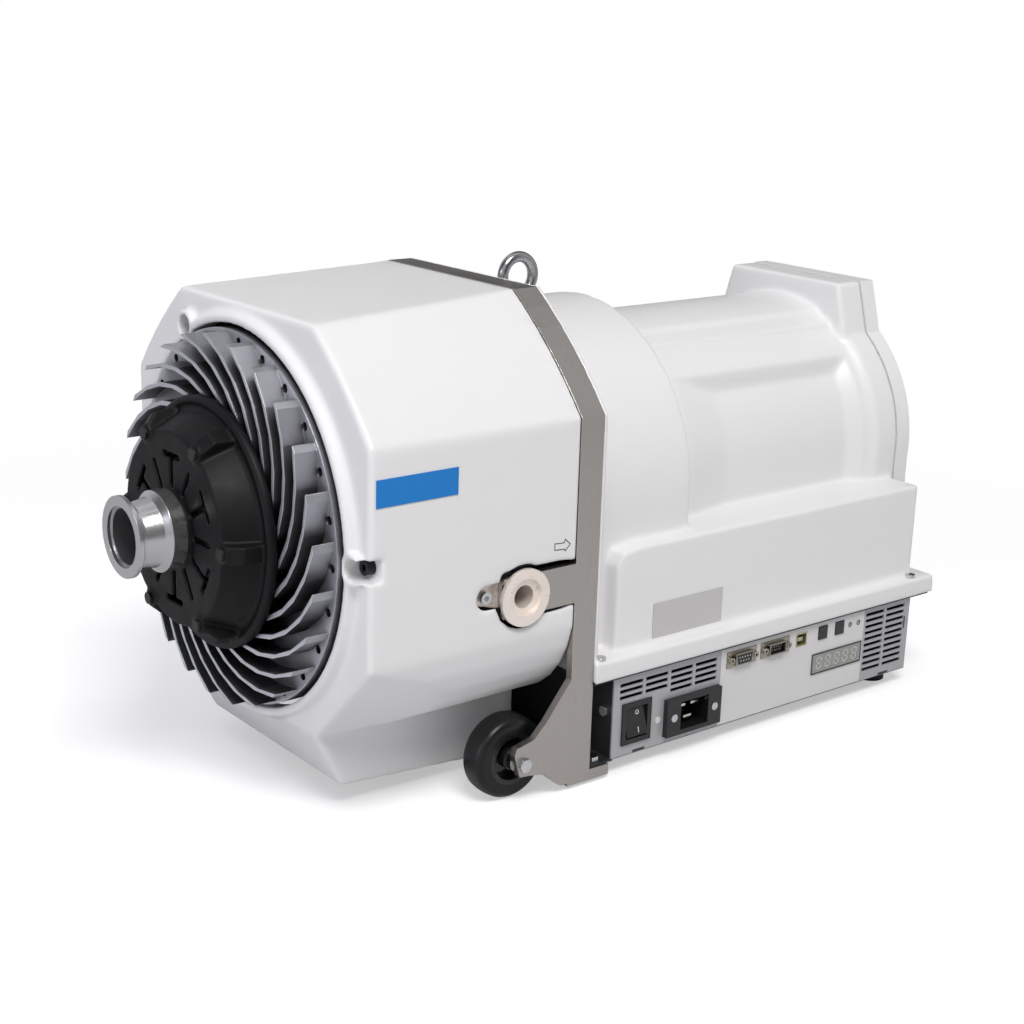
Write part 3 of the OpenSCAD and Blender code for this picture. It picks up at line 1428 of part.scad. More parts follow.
// Exhaust: turned flange with its neck, seated on the frame's duct and held by a lug and a screw
exhaust_recess_r = 13.1;
exhaust_recess = 3;
module exhaust_port() {
    color("silver") difference() {
        union() {
            translate([exhaust_x, 0, exhaust_h]) rotate([-90, 0, 0]) rotate_extrude() polygon([
                [exhaust_recess_r, -half_w],
                [exhaust_flange_r, -half_w],
                [exhaust_flange_r, flange_rim - half_w],
                [neck_r, flange_rim + flange_taper - half_w],
                [neck_r, -seat_y],
                [exhaust_bore_r, -seat_y],
                [exhaust_bore_r, exhaust_recess - half_w],
                [exhaust_recess_r, exhaust_recess - half_w]]);
            translate([lug_x, 0, lug_h]) rod_y(-lug_y, lug_t - lug_y, lug_boss_r);
            along_y(-lug_y, lug_t - lug_y) polygon([
                [lug_x, lug_h + lug_boss_r], [lug_x, lug_h - lug_boss_r],
                [exhaust_x, exhaust_h - neck_r + over], [exhaust_x, exhaust_h + neck_r - over]]);
        }
        translate([exhaust_x, 0, exhaust_h]) rod_y(-half_w - over, over - seat_y, exhaust_bore_r);
        translate([lug_x, 0, lug_h]) rod_y(-lug_y - over, lug_t - lug_y + over, lug_screw_r + run_fit);
    }
}
lug_head_r = 4.2;
lug_head_h = 5;
lug_screw_depth = 20;
lug_socket_r = 2;
module exhaust_screw() {
    color("silver") translate([lug_x, 0, lug_h]) difference() {
        union() {
            rod_y(-lug_y - lug_head_h, -lug_y, lug_head_r);
            rod_y(-lug_y, lug_screw_depth - lug_y, lug_screw_r);
        }
        translate([0, -lug_y - lug_head_h - over, 0]) rotate([-90, 0, 0])
            cylinder(h = lug_socket_r + over, r = lug_socket_r, $fn = 6);
    }
}

// Lifting eye: forged ring on a collar, screwed into the motor's boss through the cowl
eye_collar_r = 10;
eye_collar_h = 6;
eye_seat = shaft_h + drum_r;
eye_centre = eye_seat + eye_r;
module lifting_eye() {
    color("silver") difference() {
        union() {
            translate([eye_x, 0, eye_centre]) rotate([90, 0, 0]) rotate_extrude()
                translate([(eye_r + eye_hole_r) / 2, 0]) circle(r = (eye_r - eye_hole_r) / 2);
            translate([eye_x, 0, eye_seat]) cylinder(h = eye_collar_h, r = eye_collar_r);
            translate([eye_x, 0, eye_seat - eye_shank + over]) cylinder(h = eye_shank, r = eye_shank_r);
        }
        translate([eye_x, 0, eye_centre]) rod_y(-eye_collar_r - over, eye_collar_r + over, eye_hole_r);
    }
}

// Wheels: moulded tyre on a hub with a running bore, each on its own bolt beside the ear
wheel_at = band_half - band_t - wheel_gap - wheel_w / 2;
wheel_play = 0.3;
wheel_half = wheel_w / 2 - wheel_play;
tyre_crown = 3;
hub_core_r = 8;
hub_web = 3;
hub_rim = 15.5;
spacer_r = 7;
bolt_hex_r = 5.2;
bolt_hex_h = half_w - band_half;
nut_r = 7.4;
nut_h = 6;
axle_tail = 2;
module at_wheel(side) {
    translate([axle_x, side * wheel_at, wheel_r]) rotate([-90, 0, 0]) children();
}
module wheel_tyre(side) {
    color([0.05, 0.05, 0.05]) at_wheel(side) rotate_extrude() polygon([
        [wheel_hub_r, -wheel_half], [wheel_r - tyre_crown, -wheel_half],
        [wheel_r - tyre_crown / 3, over - wheel_half], [wheel_r, tyre_crown - wheel_half],
        [wheel_r, wheel_half - tyre_crown], [wheel_r - tyre_crown / 3, wheel_half - over],
        [wheel_r - tyre_crown, wheel_half], [wheel_hub_r, wheel_half]]);
}
module wheel_hub(side) {
    color([0.1, 0.1, 0.1]) at_wheel(side) rotate_extrude() polygon([
        [axle_r + run_fit, -wheel_half], [hub_core_r, -wheel_half], [hub_core_r, -hub_web],
        [hub_rim, -hub_web], [hub_rim, -wheel_half], [wheel_hub_r, -wheel_half],
        [wheel_hub_r, wheel_half], [hub_rim, wheel_half], [hub_rim, hub_web],
        [hub_core_r, hub_web], [hub_core_r, wheel_half], [axle_r + run_fit, wheel_half]]);
}
module wheel_tyre_left() { wheel_tyre(-1); }
module wheel_tyre_right() { wheel_tyre(1); }
module wheel_hub_left() { wheel_hub(-1); }
module wheel_hub_right() { wheel_hub(1); }
module axle_bolts() {
    color("silver") for (s = [0, 1]) mirror([0, s, 0]) translate([axle_x, 0, wheel_r]) {
        translate([0, -band_half - bolt_hex_h, 0]) rotate([-90, 0, 0]) cylinder(h = bolt_hex_h,
            r = bolt_hex_r, $fn = 6);
        rod_y(-band_half, wheel_w / 2 - wheel_at + nut_h + axle_tail, axle_r);
        difference() {
            rod_y(band_t - band_half, -wheel_at - wheel_w / 2, spacer_r);
            rod_y(band_t - band_half - over, over - wheel_at - wheel_w / 2, axle_r);
        }
        difference() {
            translate([0, wheel_w / 2 - wheel_at, 0]) rotate([-90, 0, 0]) cylinder(h = nut_h,
                r = nut_r, $fn = 6);
            rod_y(wheel_w / 2 - wheel_at - over, wheel_w / 2 - wheel_at + nut_h + over, axle_r);
        }
    }
}

// Rear feet and the plain blue plate on the shroud
rear_foot_r = 12;
rear_foot_in = 14;
rear_foot_side = 24;
rear_foot_x = box_end - rear_foot_in;
rear_foot_y = box_half - rear_foot_side;
module rear_feet() {
    color([0.05, 0.05, 0.05]) for (s = [-1, 1]) translate([rear_foot_x, s * rear_foot_y, 0])
        cylinder(h = box_low, r = rear_foot_r);
}
plate_lead = 164;
plate_len = 62.5;
plate_low = 232.5;
plate_high = 250.5;
name_plate_t = 0.5;
module name_plate() {
    color([0.1, 0.5, 0.85]) block([band_x - plate_lead, band_x - plate_lead + plate_len],
        [-band_half - name_plate_t, -band_half], [plate_low, plate_high]);
}

front_shroud();
shroud_screws();
inlet_port();
front_guard();
guard_screws();
outboard_housing();
fixed_tip_seal();
orbiting_scroll();
orbiting_tip_seal();
housing_seal();
pump_frame();
housing_bolts();
crankshaft();
main_bearings();
crankpin_bearing();
counterweight();
idler_crank_1();
idler_crank_2();
idler_crank_3();
idler_bearings();
orbiter_bushes();
motor_housing();
stator_core();
stator_windings();
rotor_core();
end_bell();
motor_bolts();
cooling_fan();
rear_cowl();
cowl_screws();
rear_grille();
control_box();
io_panel();
panel_label();
inverter_board();
capacitors();
switch_bezel();
power_rocker();
mains_inlet();
inlet_blades();
panel_screws();
remote_socket();
analog_plug();
usb_socket();
up_button();
down_button();
status_leds();
display_window();
strap_frame();
foot_bolts();
exhaust_port();
exhaust_screw();
lifting_eye();
wheel_tyre_left();
wheel_tyre_right();
wheel_hub_left();
wheel_hub_right();
axle_bolts();
rear_feet();
name_plate();
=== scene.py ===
import math
import bmesh
import bpy
import numpy as np
from mathutils import Matrix, Vector
from mathutils.bvhtree import BVHTree


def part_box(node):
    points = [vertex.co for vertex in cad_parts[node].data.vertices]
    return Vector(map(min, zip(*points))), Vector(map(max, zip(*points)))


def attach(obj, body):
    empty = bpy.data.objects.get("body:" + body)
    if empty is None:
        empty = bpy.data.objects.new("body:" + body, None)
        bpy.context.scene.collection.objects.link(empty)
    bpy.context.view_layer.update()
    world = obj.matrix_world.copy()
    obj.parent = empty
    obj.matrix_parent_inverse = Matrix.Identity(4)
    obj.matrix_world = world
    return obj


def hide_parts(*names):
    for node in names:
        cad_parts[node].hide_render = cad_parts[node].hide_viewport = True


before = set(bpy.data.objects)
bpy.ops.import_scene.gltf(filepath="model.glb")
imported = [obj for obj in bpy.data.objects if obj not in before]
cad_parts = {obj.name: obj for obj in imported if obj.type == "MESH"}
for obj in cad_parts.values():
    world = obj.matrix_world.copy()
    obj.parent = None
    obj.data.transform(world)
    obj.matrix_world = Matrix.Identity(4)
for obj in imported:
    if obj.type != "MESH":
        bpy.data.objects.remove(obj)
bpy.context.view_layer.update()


# Stage: a pale floor, a white surround, three soft lamps and the camera that took the photograph.
# The camera's place and turn were worked out from the flanges, the connectors and the band.
camera_place = Vector((-0.8137, -1.0130, 0.5384))
camera_right = Vector((0.78471, -0.61918, 0.02910))
camera_up = Vector((0.15290, 0.23885, 0.95894))
camera_back = Vector((-0.60071, -0.74804, 0.28210))
sensor_width = 36.0
focal_pixels, image_pixels = 1769.6, 1024
camera_data = bpy.data.cameras.new("photo_camera")
camera_data.sensor_width = sensor_width
camera_data.lens = focal_pixels / image_pixels * sensor_width
camera = bpy.data.objects.new("photo_camera", camera_data)
bpy.context.scene.collection.objects.link(camera)
turn = Matrix((camera_right, camera_up, camera_back)).transposed().to_4x4()
camera.matrix_world = Matrix.Translation(camera_place) @ turn
bpy.context.scene.camera = camera
bpy.context.scene.view_settings.view_transform = "Standard"


def lamp(name, place, aim, size, watts, tone):
    data = bpy.data.lights.new(name, "AREA")
    data.shape = "RECTANGLE"
    data.size, data.size_y = size
    data.energy = watts
    data.color = tone
    softbox = bpy.data.objects.new(name, data)
    bpy.context.scene.collection.objects.link(softbox)
    softbox.location = place
    softbox.rotation_euler = (Vector(aim) - Vector(place)).to_track_quat("-Z", "Y").to_euler()


lamp("key_softbox", place=(-0.65, -1.45, 2.45), aim=(0.0, 0.0, 0.15), size=(1.2, 0.9),
     watts=50.0, tone=(1.0, 0.985, 0.965))
lamp("front_softbox", place=(-2.4, 0.1, 0.75), aim=(-0.2, 0.0, 0.15), size=(1.2, 1.0),
     watts=12.0, tone=(0.88, 0.88, 1.0))
lamp("top_softbox", place=(0.3, 0.3, 2.6), aim=(0.0, 0.0, 0.1), size=(2.2, 1.6),
     watts=4.0, tone=(1.0, 1.0, 1.0))


# Gives a node's inputs what is listed: another node's output is linked, anything else is its value.
def feed(tree, target, inputs):
    for socket, given in inputs.items():
        if isinstance(given, bpy.types.NodeSocket):
            tree.links.new(given, target.inputs[socket])
        else:
            target.inputs[socket].default_value = given


def put(tree, kind, inputs, operation=None):
    made = tree.nodes.new("ShaderNode" + kind)
    if operation:
        made.operation = operation
    feed(tree, made, inputs)
    return made


def ramp(tree, source, span, result=(0.0, 1.0), curve="LINEAR"):
    made = put(tree, "MapRange", {"Value": source, "From Min": span[0], "From Max": span[1],
                                  "To Min": result[0], "To Max": result[1]})
    made.interpolation_type = curve
    return made.outputs["Result"]


white = (1.0, 1.0, 1.0, 1.0)
surround_tone = (0.96, 0.97, 1.0, 1.0)
stripes_round, stripes_turn = 3.0, 2.88
stripe_span, stripe_strength = (-0.6, 0.6), (0.12, 0.62)
world = bpy.data.worlds.new("studio")
bpy.context.scene.world = world
world.use_nodes = True
tree = world.node_tree
tree.nodes.clear()
looking = put(tree, "TexCoord", {})
split = put(tree, "SeparateXYZ", {0: looking.outputs["Generated"]})
around = put(tree, "Math", {0: split.outputs["Y"], 1: split.outputs["X"]}, "ARCTAN2")
turns = put(tree, "Math", {0: around.outputs[0], 1: stripes_round, 2: stripes_turn},
            "MULTIPLY_ADD")
wave = put(tree, "Math", {0: turns.outputs[0]}, "SINE")
stripes = ramp(tree, wave.outputs[0], stripe_span, stripe_strength)
surround = put(tree, "Background", {"Color": surround_tone, "Strength": stripes})
backdrop = put(tree, "Background", {"Color": white, "Strength": 1.0})
path = put(tree, "LightPath", {})
pick = put(tree, "MixShader", {0: path.outputs["Is Camera Ray"], 1: surround.outputs[0],
                               2: backdrop.outputs[0]})
put(tree, "OutputWorld", {"Surface": pick.outputs[0]})

floor_reach = 6.0
floor_tone = (0.70, 0.70, 0.71, 1.0)
floor_glow = 0.44
floor_fade = (0.42, 1.10)
floor_mesh = bpy.data.meshes.new("floor")
floor_mesh.from_pydata([(-floor_reach, -floor_reach, 0), (floor_reach, -floor_reach, 0),
                        (floor_reach, floor_reach, 0), (-floor_reach, floor_reach, 0)],
                       [], [(0, 1, 2, 3)])
floor = bpy.data.objects.new("floor", floor_mesh)
bpy.context.scene.collection.objects.link(floor)
paper = bpy.data.materials.new("floor_paper")
paper.use_nodes = True
tree = paper.node_tree
tree.nodes.clear()
path = put(tree, "LightPath", {})
matte = put(tree, "BsdfDiffuse", {"Color": floor_tone})
glow = put(tree, "Math", {0: path.outputs["Is Camera Ray"], 1: floor_glow}, "MULTIPLY")
lift = put(tree, "Emission", {"Color": white, "Strength": glow.outputs[0]})
near = put(tree, "AddShader", {0: matte.outputs[0], 1: lift.outputs[0]})
far = put(tree, "Emission", {"Color": white, "Strength": 1.0})
spot = put(tree, "NewGeometry", {})
reach = put(tree, "VectorMath", {0: spot.outputs["Position"]}, "LENGTH")
fade = ramp(tree, reach.outputs["Value"], floor_fade, curve="SMOOTHSTEP")
seen = put(tree, "Math", {0: fade, 1: path.outputs["Is Camera Ray"]}, "MULTIPLY")
pick = put(tree, "MixShader", {0: seen.outputs[0], 1: near.outputs[0], 2: far.outputs[0]})
put(tree, "OutputMaterial", {"Surface": pick.outputs[0]})
floor_mesh.materials.append(paper)


# Outboard housing: the fixed scroll's aluminium casting, with 25 curved fins round its face.
# Its finishes start here: a group for the grain of a surface and one for the light on its edges.
def shader_group(name, inputs, outputs):
    group = bpy.data.node_groups.new(name, "ShaderNodeTree")
    for label, kind, value in inputs:
        socket = group.interface.new_socket(label, in_out="INPUT", socket_type=kind)
        socket.default_value = value
    for label, kind in outputs:
        group.interface.new_socket(label, in_out="OUTPUT", socket_type=kind)
    enter = group.nodes.new("NodeGroupInput")
    leave = group.nodes.new("NodeGroupOutput")
    return group, enter.outputs, leave


fine_detail, broad_detail = 3.0, 4.0
broad_share, broad_mix = 0.06, 0.6
grain_group, entry, leave = shader_group(
    "surface_grain",
    [("Scale", "NodeSocketFloat", 400.0), ("Stretch", "NodeSocketVector", (1.0, 1.0, 1.0))],
    [("Height", "NodeSocketFloat"), ("Tone", "NodeSocketFloat")])
tree = grain_group
place = put(tree, "TexCoord", {})
pull = put(tree, "VectorMath", {0: place.outputs["Object"], 1: entry["Stretch"]}, "MULTIPLY")
fine = put(tree, "TexNoise", {"Detail": fine_detail, "Vector": pull.outputs[0],
                              "Scale": entry["Scale"]})
broad_scale = put(tree, "Math", {0: entry["Scale"], 1: broad_share}, "MULTIPLY")
broad = put(tree, "TexNoise", {"Detail": broad_detail, "Vector": pull.outputs[0],
                               "Scale": broad_scale.outputs[0]})
both = put(tree, "Mix", {"Factor": broad_mix, "A": fine.outputs["Fac"],
                         "B": broad.outputs["Fac"]})
feed(tree, leave, {"Height": fine.outputs["Fac"], "Tone": both.outputs["Result"]})

bevel_samples = 6
bent_edge = (0.995, 0.80)
chip_scale, chip_detail = 160.0, 3.0
chip_span, chip_strength = (0.35, 0.60), (0.35, 1.0)
edge_group, entry, leave = shader_group(
    "edge_wear",
    [("Width", "NodeSocketFloat", 0.0006), ("Amount", "NodeSocketFloat", 0.5)],
    [("Wear", "NodeSocketFloat"), ("Rounded", "NodeSocketVector")])
tree = edge_group
bevel = put(tree, "Bevel", {"Radius": entry["Width"]})
bevel.samples = bevel_samples
facing = put(tree, "NewGeometry", {})
match = put(tree, "VectorMath", {0: bevel.outputs["Normal"], 1: facing.outputs["Normal"]},
            "DOT_PRODUCT")
mask = ramp(tree, match.outputs["Value"], bent_edge)
place = put(tree, "TexCoord", {})
chips = put(tree, "TexNoise", {"Scale": chip_scale, "Detail": chip_detail,
                               "Vector": place.outputs["Object"]})
patchy = ramp(tree, chips.outputs["Fac"], chip_span, chip_strength)
worn = put(tree, "Math", {0: mask, 1: patchy}, "MULTIPLY")
amount = put(tree, "Math", {0: worn.outputs[0], 1: entry["Amount"]}, "MULTIPLY")
feed(tree, leave, {"Wear": amount.outputs[0], "Rounded": bevel.outputs["Normal"]})

coat_rough = 0.12
gloss_span = (0.3, 0.7)
rub_gain, rub_lift = 1.4, 0.02


def use_group(tree, group, inputs):
    made = tree.nodes.new("ShaderNodeGroup")
    made.node_tree = group
    feed(tree, made, inputs)
    return made.outputs


def mix_colours(tree, share, first, second):
    made = tree.nodes.new("ShaderNodeMix")
    made.data_type = "RGBA"
    feed(tree, made, {"Factor": share, "A": first, "B": second})
    return made.outputs["Result"]


# One surface: grain sets its height, tone and gloss, and its edges are rounded and rubbed bright.
def finish(name, colour, rough, metal=0.0, grain=400.0, stretch=(1, 1, 1), depth=0.00002,
           shade=0.05, scatter=0.05, edge=0.0005, worn_colour=None, wear=0.0, coat=0.0):
    material = bpy.data.materials.new(name)
    material.use_nodes = True
    tree = material.node_tree
    grained = use_group(tree, grain_group, {"Scale": grain, "Stretch": stretch})
    edged = use_group(tree, edge_group, {"Width": edge, "Amount": wear})
    darker = [c * (1 - shade) for c in colour] + [1]
    lighter = [min(1, c * (1 + shade)) for c in colour] + [1]
    rubbed = list(worn_colour or [min(1, c * rub_gain + rub_lift) for c in colour]) + [1]
    tones = mix_colours(tree, grained["Tone"], darker, lighter)
    gloss = ramp(tree, grained["Tone"], gloss_span,
                 (max(0.02, rough - scatter), min(1.0, rough + scatter)))
    bump = put(tree, "Bump", {"Strength": 1.0, "Distance": depth, "Height": grained["Height"],
                              "Normal": edged["Rounded"]})
    feed(tree, tree.nodes["Principled BSDF"], {
        "Metallic": metal, "Coat Weight": coat, "Coat Roughness": coat_rough,
        "Base Color": mix_colours(tree, edged["Wear"], tones, rubbed),
        "Roughness": gloss, "Normal": bump.outputs["Normal"]})
    return material


def dress(material, *names):
    for name in names:
        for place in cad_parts[name].material_slots:
            place.material = material


def scale_colour(material, factor):
    tree = material.node_tree
    surface = tree.nodes["Principled BSDF"]
    before = surface.inputs["Base Color"].links[0].from_socket
    scaled = put(tree, "VectorMath", {0: before, "Scale": factor}, "SCALE")
    feed(tree, surface, {"Base Color": scaled.outputs[0]})


hollow_samples = 6
hollow_span = (0.15, 0.75)


# Painted shade: darkens a material's colour where its surface lies in a hollow, as between the
# fins.
def paint_hollow_shade(material, reach, dark):
    tree = material.node_tree
    hollow = put(tree, "AmbientOcclusion", {"Distance": reach})
    hollow.samples = hollow_samples
    scale_colour(material, ramp(tree, hollow.outputs["AO"], hollow_span, (dark, 1.0)))


cast_aluminium = finish("cast_aluminium", (0.42, 0.425, 0.46), rough=0.40, metal=0.85,
                        grain=900.0, depth=0.00005, shade=0.12, scatter=0.10, edge=0.0009,
                        wear=0.6, worn_colour=(0.72, 0.72, 0.76))
# Painted shade between the fins: the casting's colour falls to 0.04 of itself in the deepest
# hollows.
paint_hollow_shade(cast_aluminium, reach=0.022, dark=0.04)
# Painted highlight: faces of the casting that face the front have their colour made up to 1.45
# times lighter.
front_facing = (-0.85, -0.98)
front_lift = (1.0, 1.45)
tree = cast_aluminium.node_tree
facing = put(tree, "NewGeometry", {})
split = put(tree, "SeparateXYZ", {0: facing.outputs["Normal"]})
front_lit_faces = ramp(tree, split.outputs["X"], front_facing)
scale_colour(cast_aluminium, ramp(tree, front_lit_faces, (0.0, 1.0), front_lift))
dress(cast_aluminium, "outboard_housing", "pump_frame")


# Scrolls, seals and crank train: machined aluminium scrolls with white tip seals, and a steel
# crankshaft and idlers in greased bearings. They sit inside and show only when it is opened.
machined_aluminium = finish("machined_aluminium", (0.62, 0.62, 0.64), rough=0.28, metal=1.0,
                            grain=1200.0, depth=0.000008, scatter=0.06, edge=0.0004, wear=0.2)
tip_seal_polymer = finish("tip_seal_polymer", (0.72, 0.71, 0.66), rough=0.5, grain=1500.0,
                          depth=0.00001, edge=0.0002)
seal_rubber = finish("seal_rubber", (0.02, 0.02, 0.02), rough=0.6, grain=1500.0,
                     depth=0.00001, edge=0.0002)
ground_steel = finish("ground_steel", (0.56, 0.57, 0.58), rough=0.2, metal=1.0, grain=700.0,
                      stretch=(6, 1, 1), depth=0.000006, shade=0.06, edge=0.0004, wear=0.2)
cast_iron = finish("cast_iron", (0.16, 0.16, 0.17), rough=0.55, metal=0.6, grain=700.0,
                   depth=0.00006, shade=0.2, scatter=0.1, edge=0.0006, wear=0.4)
bearing_steel = finish("bearing_steel", (0.60, 0.60, 0.60), rough=0.15, metal=1.0,
                       grain=900.0, depth=0.000004, edge=0.0003, wear=0.1)
bronze = finish("bronze", (0.60, 0.38, 0.16), rough=0.3, metal=1.0, grain=900.0,
                depth=0.000008, edge=0.0003, wear=0.2)
dress(machined_aluminium, "orbiting_scroll")
dress(tip_seal_polymer, "fixed_tip_seal", "orbiting_tip_seal")
dress(seal_rubber, "housing_seal")
dress(ground_steel, "crankshaft", "idler_crank_1", "idler_crank_2", "idler_crank_3")
dress(cast_iron, "counterweight")
dress(bearing_steel, "main_bearings", "crankpin_bearing", "idler_bearings")
dress(bronze, "orbiter_bushes")


# Motor: a painted housing round a laminated stator with copper windings, the rotor and a cast
# end bell. Screws through the end bell clamp it to the pump frame.
motor_paint = finish("motor_paint", (0.10, 0.11, 0.12), rough=0.45, grain=500.0,
                     depth=0.00004, shade=0.1, edge=0.0006, wear=0.4,
                     worn_colour=(0.35, 0.35, 0.36))
laminations = finish("laminations", (0.22, 0.22, 0.24), rough=0.4, metal=0.9, grain=2000.0,
                     stretch=(1, 0.02, 0.02), depth=0.00006, shade=0.2, edge=0.0003)
copper_windings = finish("copper_windings", (0.55, 0.22, 0.08), rough=0.3, metal=0.9,
                         grain=900.0, stretch=(0.1, 1, 1), depth=0.0002, shade=0.25,
                         edge=0.0006)
dress(motor_paint, "motor_housing")
dress(laminations, "stator_core", "rotor_core")
dress(copper_windings, "stator_windings")
dress(cast_aluminium, "end_bell")


# Fasteners: black socket screws in the shroud and the housing, and zinc-plated screws, nuts and
# axle bolts elsewhere, each screwed into a tapped boss.
black_oxide = finish("black_oxide", (0.018, 0.018, 0.02), rough=0.32, metal=0.6, grain=1500.0,
                     depth=0.00001, shade=0.2, edge=0.0004, wear=0.5,
                     worn_colour=(0.12, 0.12, 0.12))
zinc_plate = finish("zinc_plate", (0.62, 0.63, 0.64), rough=0.22, metal=1.0, grain=900.0,
                    depth=0.00001, shade=0.08, scatter=0.08, wear=0.3)
dress(black_oxide, "shroud_screws", "housing_bolts")
dress(zinc_plate, "motor_bolts", "cowl_screws", "panel_screws", "foot_bolts", "exhaust_screw",
      "axle_bolts")


# Cooling fan: a black moulding of glass-filled nylon, pressed onto the motor's rear shaft end.
# It shows only as a dark shape through the slots of the grille.
black_nylon = finish("black_nylon", (0.022, 0.022, 0.024), rough=0.42, grain=900.0,
                     depth=0.00003, shade=0.15, scatter=0.08, edge=0.0006, wear=0.25,
                     worn_colour=(0.08, 0.08, 0.08))
dress(black_nylon, "cooling_fan")


# Front shroud: a white moulded cover over the scroll housing. It is drawn over the pump from the
# front, its rounded edges come out of the mould, and three screws in deep cups hold it.
white_cover = finish("white_cover", (0.80, 0.795, 0.80), rough=0.38, grain=700.0,
                     depth=0.000012, shade=0.015, scatter=0.04, edge=0.0008, coat=0.15)
weld_reach = 0.000002
pull_share = 0.5


def plain_copy(name, source):
    piece = bpy.data.objects.new(name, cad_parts[source].data.copy())
    bpy.context.scene.collection.objects.link(piece)
    welded = bmesh.new()
    welded.from_mesh(piece.data)
    bmesh.ops.remove_doubles(welded, verts=welded.verts, dist=weld_reach)
    welded.to_mesh(piece.data)
    welded.free()
    return piece


def settle(piece):
    graph = bpy.context.evaluated_depsgraph_get()
    mesh = bpy.data.meshes.new_from_object(piece.evaluated_get(graph))
    piece.modifiers.clear()
    piece.data = mesh
    return mesh


# A moulding: the node's shape in fine voxels, with each point drawn towards its neighbours for a
# number of rounds, as far as ease allows there. That rounds its edges and leaves flat faces flat.
def moulded(name, source, voxel, rounds, ease, keep, added=()):
    piece = plain_copy(name, source)
    if added:
        joined = bmesh.new()
        joined.from_mesh(piece.data)
        for points, faces in added:
            corners = [joined.verts.new(point) for point in points]
            for face in faces:
                joined.faces.new([corners[k] for k in face])
        bmesh.ops.recalc_face_normals(joined, faces=joined.faces)
        joined.to_mesh(piece.data)
        joined.free()
    remesh = piece.modifiers.new("remesh", "REMESH")
    remesh.mode = "VOXEL"
    remesh.voxel_size = voxel
    mesh = settle(piece)
    count = len(mesh.vertices)
    points = np.empty(count * 3)
    mesh.vertices.foreach_get("co", points)
    points = points.reshape(-1, 3)
    ends = np.empty(len(mesh.edges) * 2, dtype=np.int64)
    mesh.edges.foreach_get("vertices", ends)
    first, second = ends[0::2], ends[1::2]
    degree = np.bincount(first, minlength=count) + np.bincount(second, minlength=count)
    pull = pull_share * ease(points)[:, None]
    for step in range(rounds):
        total = np.zeros((count, 3))
        for axis in range(3):
            total[:, axis] = (np.bincount(first, points[second, axis], count)
                              + np.bincount(second, points[first, axis], count))
        points += pull * (total / degree[:, None] - points)
    mesh.vertices.foreach_set("co", points.ravel())
    thin = piece.modifiers.new("thin", "DECIMATE")
    thin.ratio = keep
    mesh = settle(piece)
    mesh.shade_smooth()
    mesh.materials.clear()
    return piece


# Ease at some distance from a place: least at start, and full once it is over further away.
def rising(distance, start, over, least=0.0):
    return np.clip((distance - start) / over, least, 1)


shaft_height = 0.191
band_front = -0.065
rim_clear, rim_over = 0.004, 0.010
mouth_start, mouth_over, mouth_least = 0.135, 0.015, 0.15
cup_at, cup_start, cup_over, cup_least = 0.139, 0.012, 0.006, 0.12
cup_angles = (0, 120, 240)


def shroud_ease(points):
    radius = np.hypot(points[:, 1], points[:, 2] - shaft_height)
    mouth = rising(radius, mouth_start, mouth_over, mouth_least)
    for angle in cup_angles:
        bend = math.radians(angle)
        near = np.hypot(points[:, 1] + cup_at * math.cos(bend),
                        points[:, 2] - shaft_height - cup_at * math.sin(bend))
        mouth = np.minimum(mouth, rising(near, cup_start, cup_over, cup_least))
    return rising(band_front - points[:, 0], rim_clear, rim_over) * mouth


shroud = moulded("front_shroud_moulding", "front_shroud", voxel=0.0013, rounds=22,
                 ease=shroud_ease, keep=0.28)
shroud.data.materials.append(white_cover)
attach(shroud, "root")
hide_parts("front_shroud")


# Rear cowl and grille: the white moulding over the motor, with its drum, recessed sides, flared
# end and the box over the control unit in one piece, held by screws in its lip. The grille is a
# second moulding that closes its end.
band_back = 0.026
lip_top, lip_over, lip_least = 0.080, 0.010, 0.12


def cowl_ease(points):
    lip = rising(points[:, 2], lip_top, lip_over, lip_least)
    return rising(points[:, 0] - band_front, band_back, rim_over) * lip


cowl = moulded("rear_cowl_moulding", "rear_cowl", voxel=0.0017, rounds=6, ease=cowl_ease,
               keep=0.32)
cowl.data.materials.append(white_cover)
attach(cowl, "root")
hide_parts("rear_cowl")
dress(white_cover, "rear_grille")


# Front guard: a matt black moulded dish in front of the fins, with T-shaped and straight slots.
# Six screws in its bosses hold it, and the inlet comes out through its middle.
guard_plastic = finish("guard_plastic", (0.004, 0.004, 0.005), rough=0.52, grain=1400.0,
                       depth=0.00005, shade=0.2, scatter=0.08, edge=0.0010, wear=0.08,
                       worn_colour=(0.02, 0.02, 0.02))
feed(guard_plastic.node_tree, guard_plastic.node_tree.nodes["Principled BSDF"],
     {"Specular IOR Level": 0.22})
screw_black = finish("screw_black", (0.006, 0.006, 0.006), rough=0.5, grain=1500.0,
                     depth=0.00001, edge=0.0003)
guard_front = -0.288
guard_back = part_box("front_guard")[1][0]
boss_count = 6
rib_start, rib_reach, rib_half = 0.071, 0.080, 0.0060
rib_sink, rib_slope = 0.001, 0.009
bead_radius, bead_at = 0.0035, 0.0830
bead_sides, round_steps = 12, 96
box_faces = [(0, 1, 3, 2), (4, 6, 7, 5), (0, 4, 5, 1), (2, 3, 7, 6), (0, 2, 6, 4), (1, 5, 7, 3)]


# Turns a closed profile of (along, radius) points round an axis. The function place gives the
# point for a step along the axis and two across it.
def spun(profile, steps, place):
    points, faces = [], []
    count = len(profile)
    for step in range(steps):
        angle = 2 * math.pi * step / steps
        for along, radius in profile:
            points.append(place(along, radius * math.cos(angle), radius * math.sin(angle)))
        after = (step + 1) % steps
        for k in range(count):
            j = (k + 1) % count
            faces.append((step * count + k, step * count + j, after * count + j,
                          after * count + k))
    return points, faces


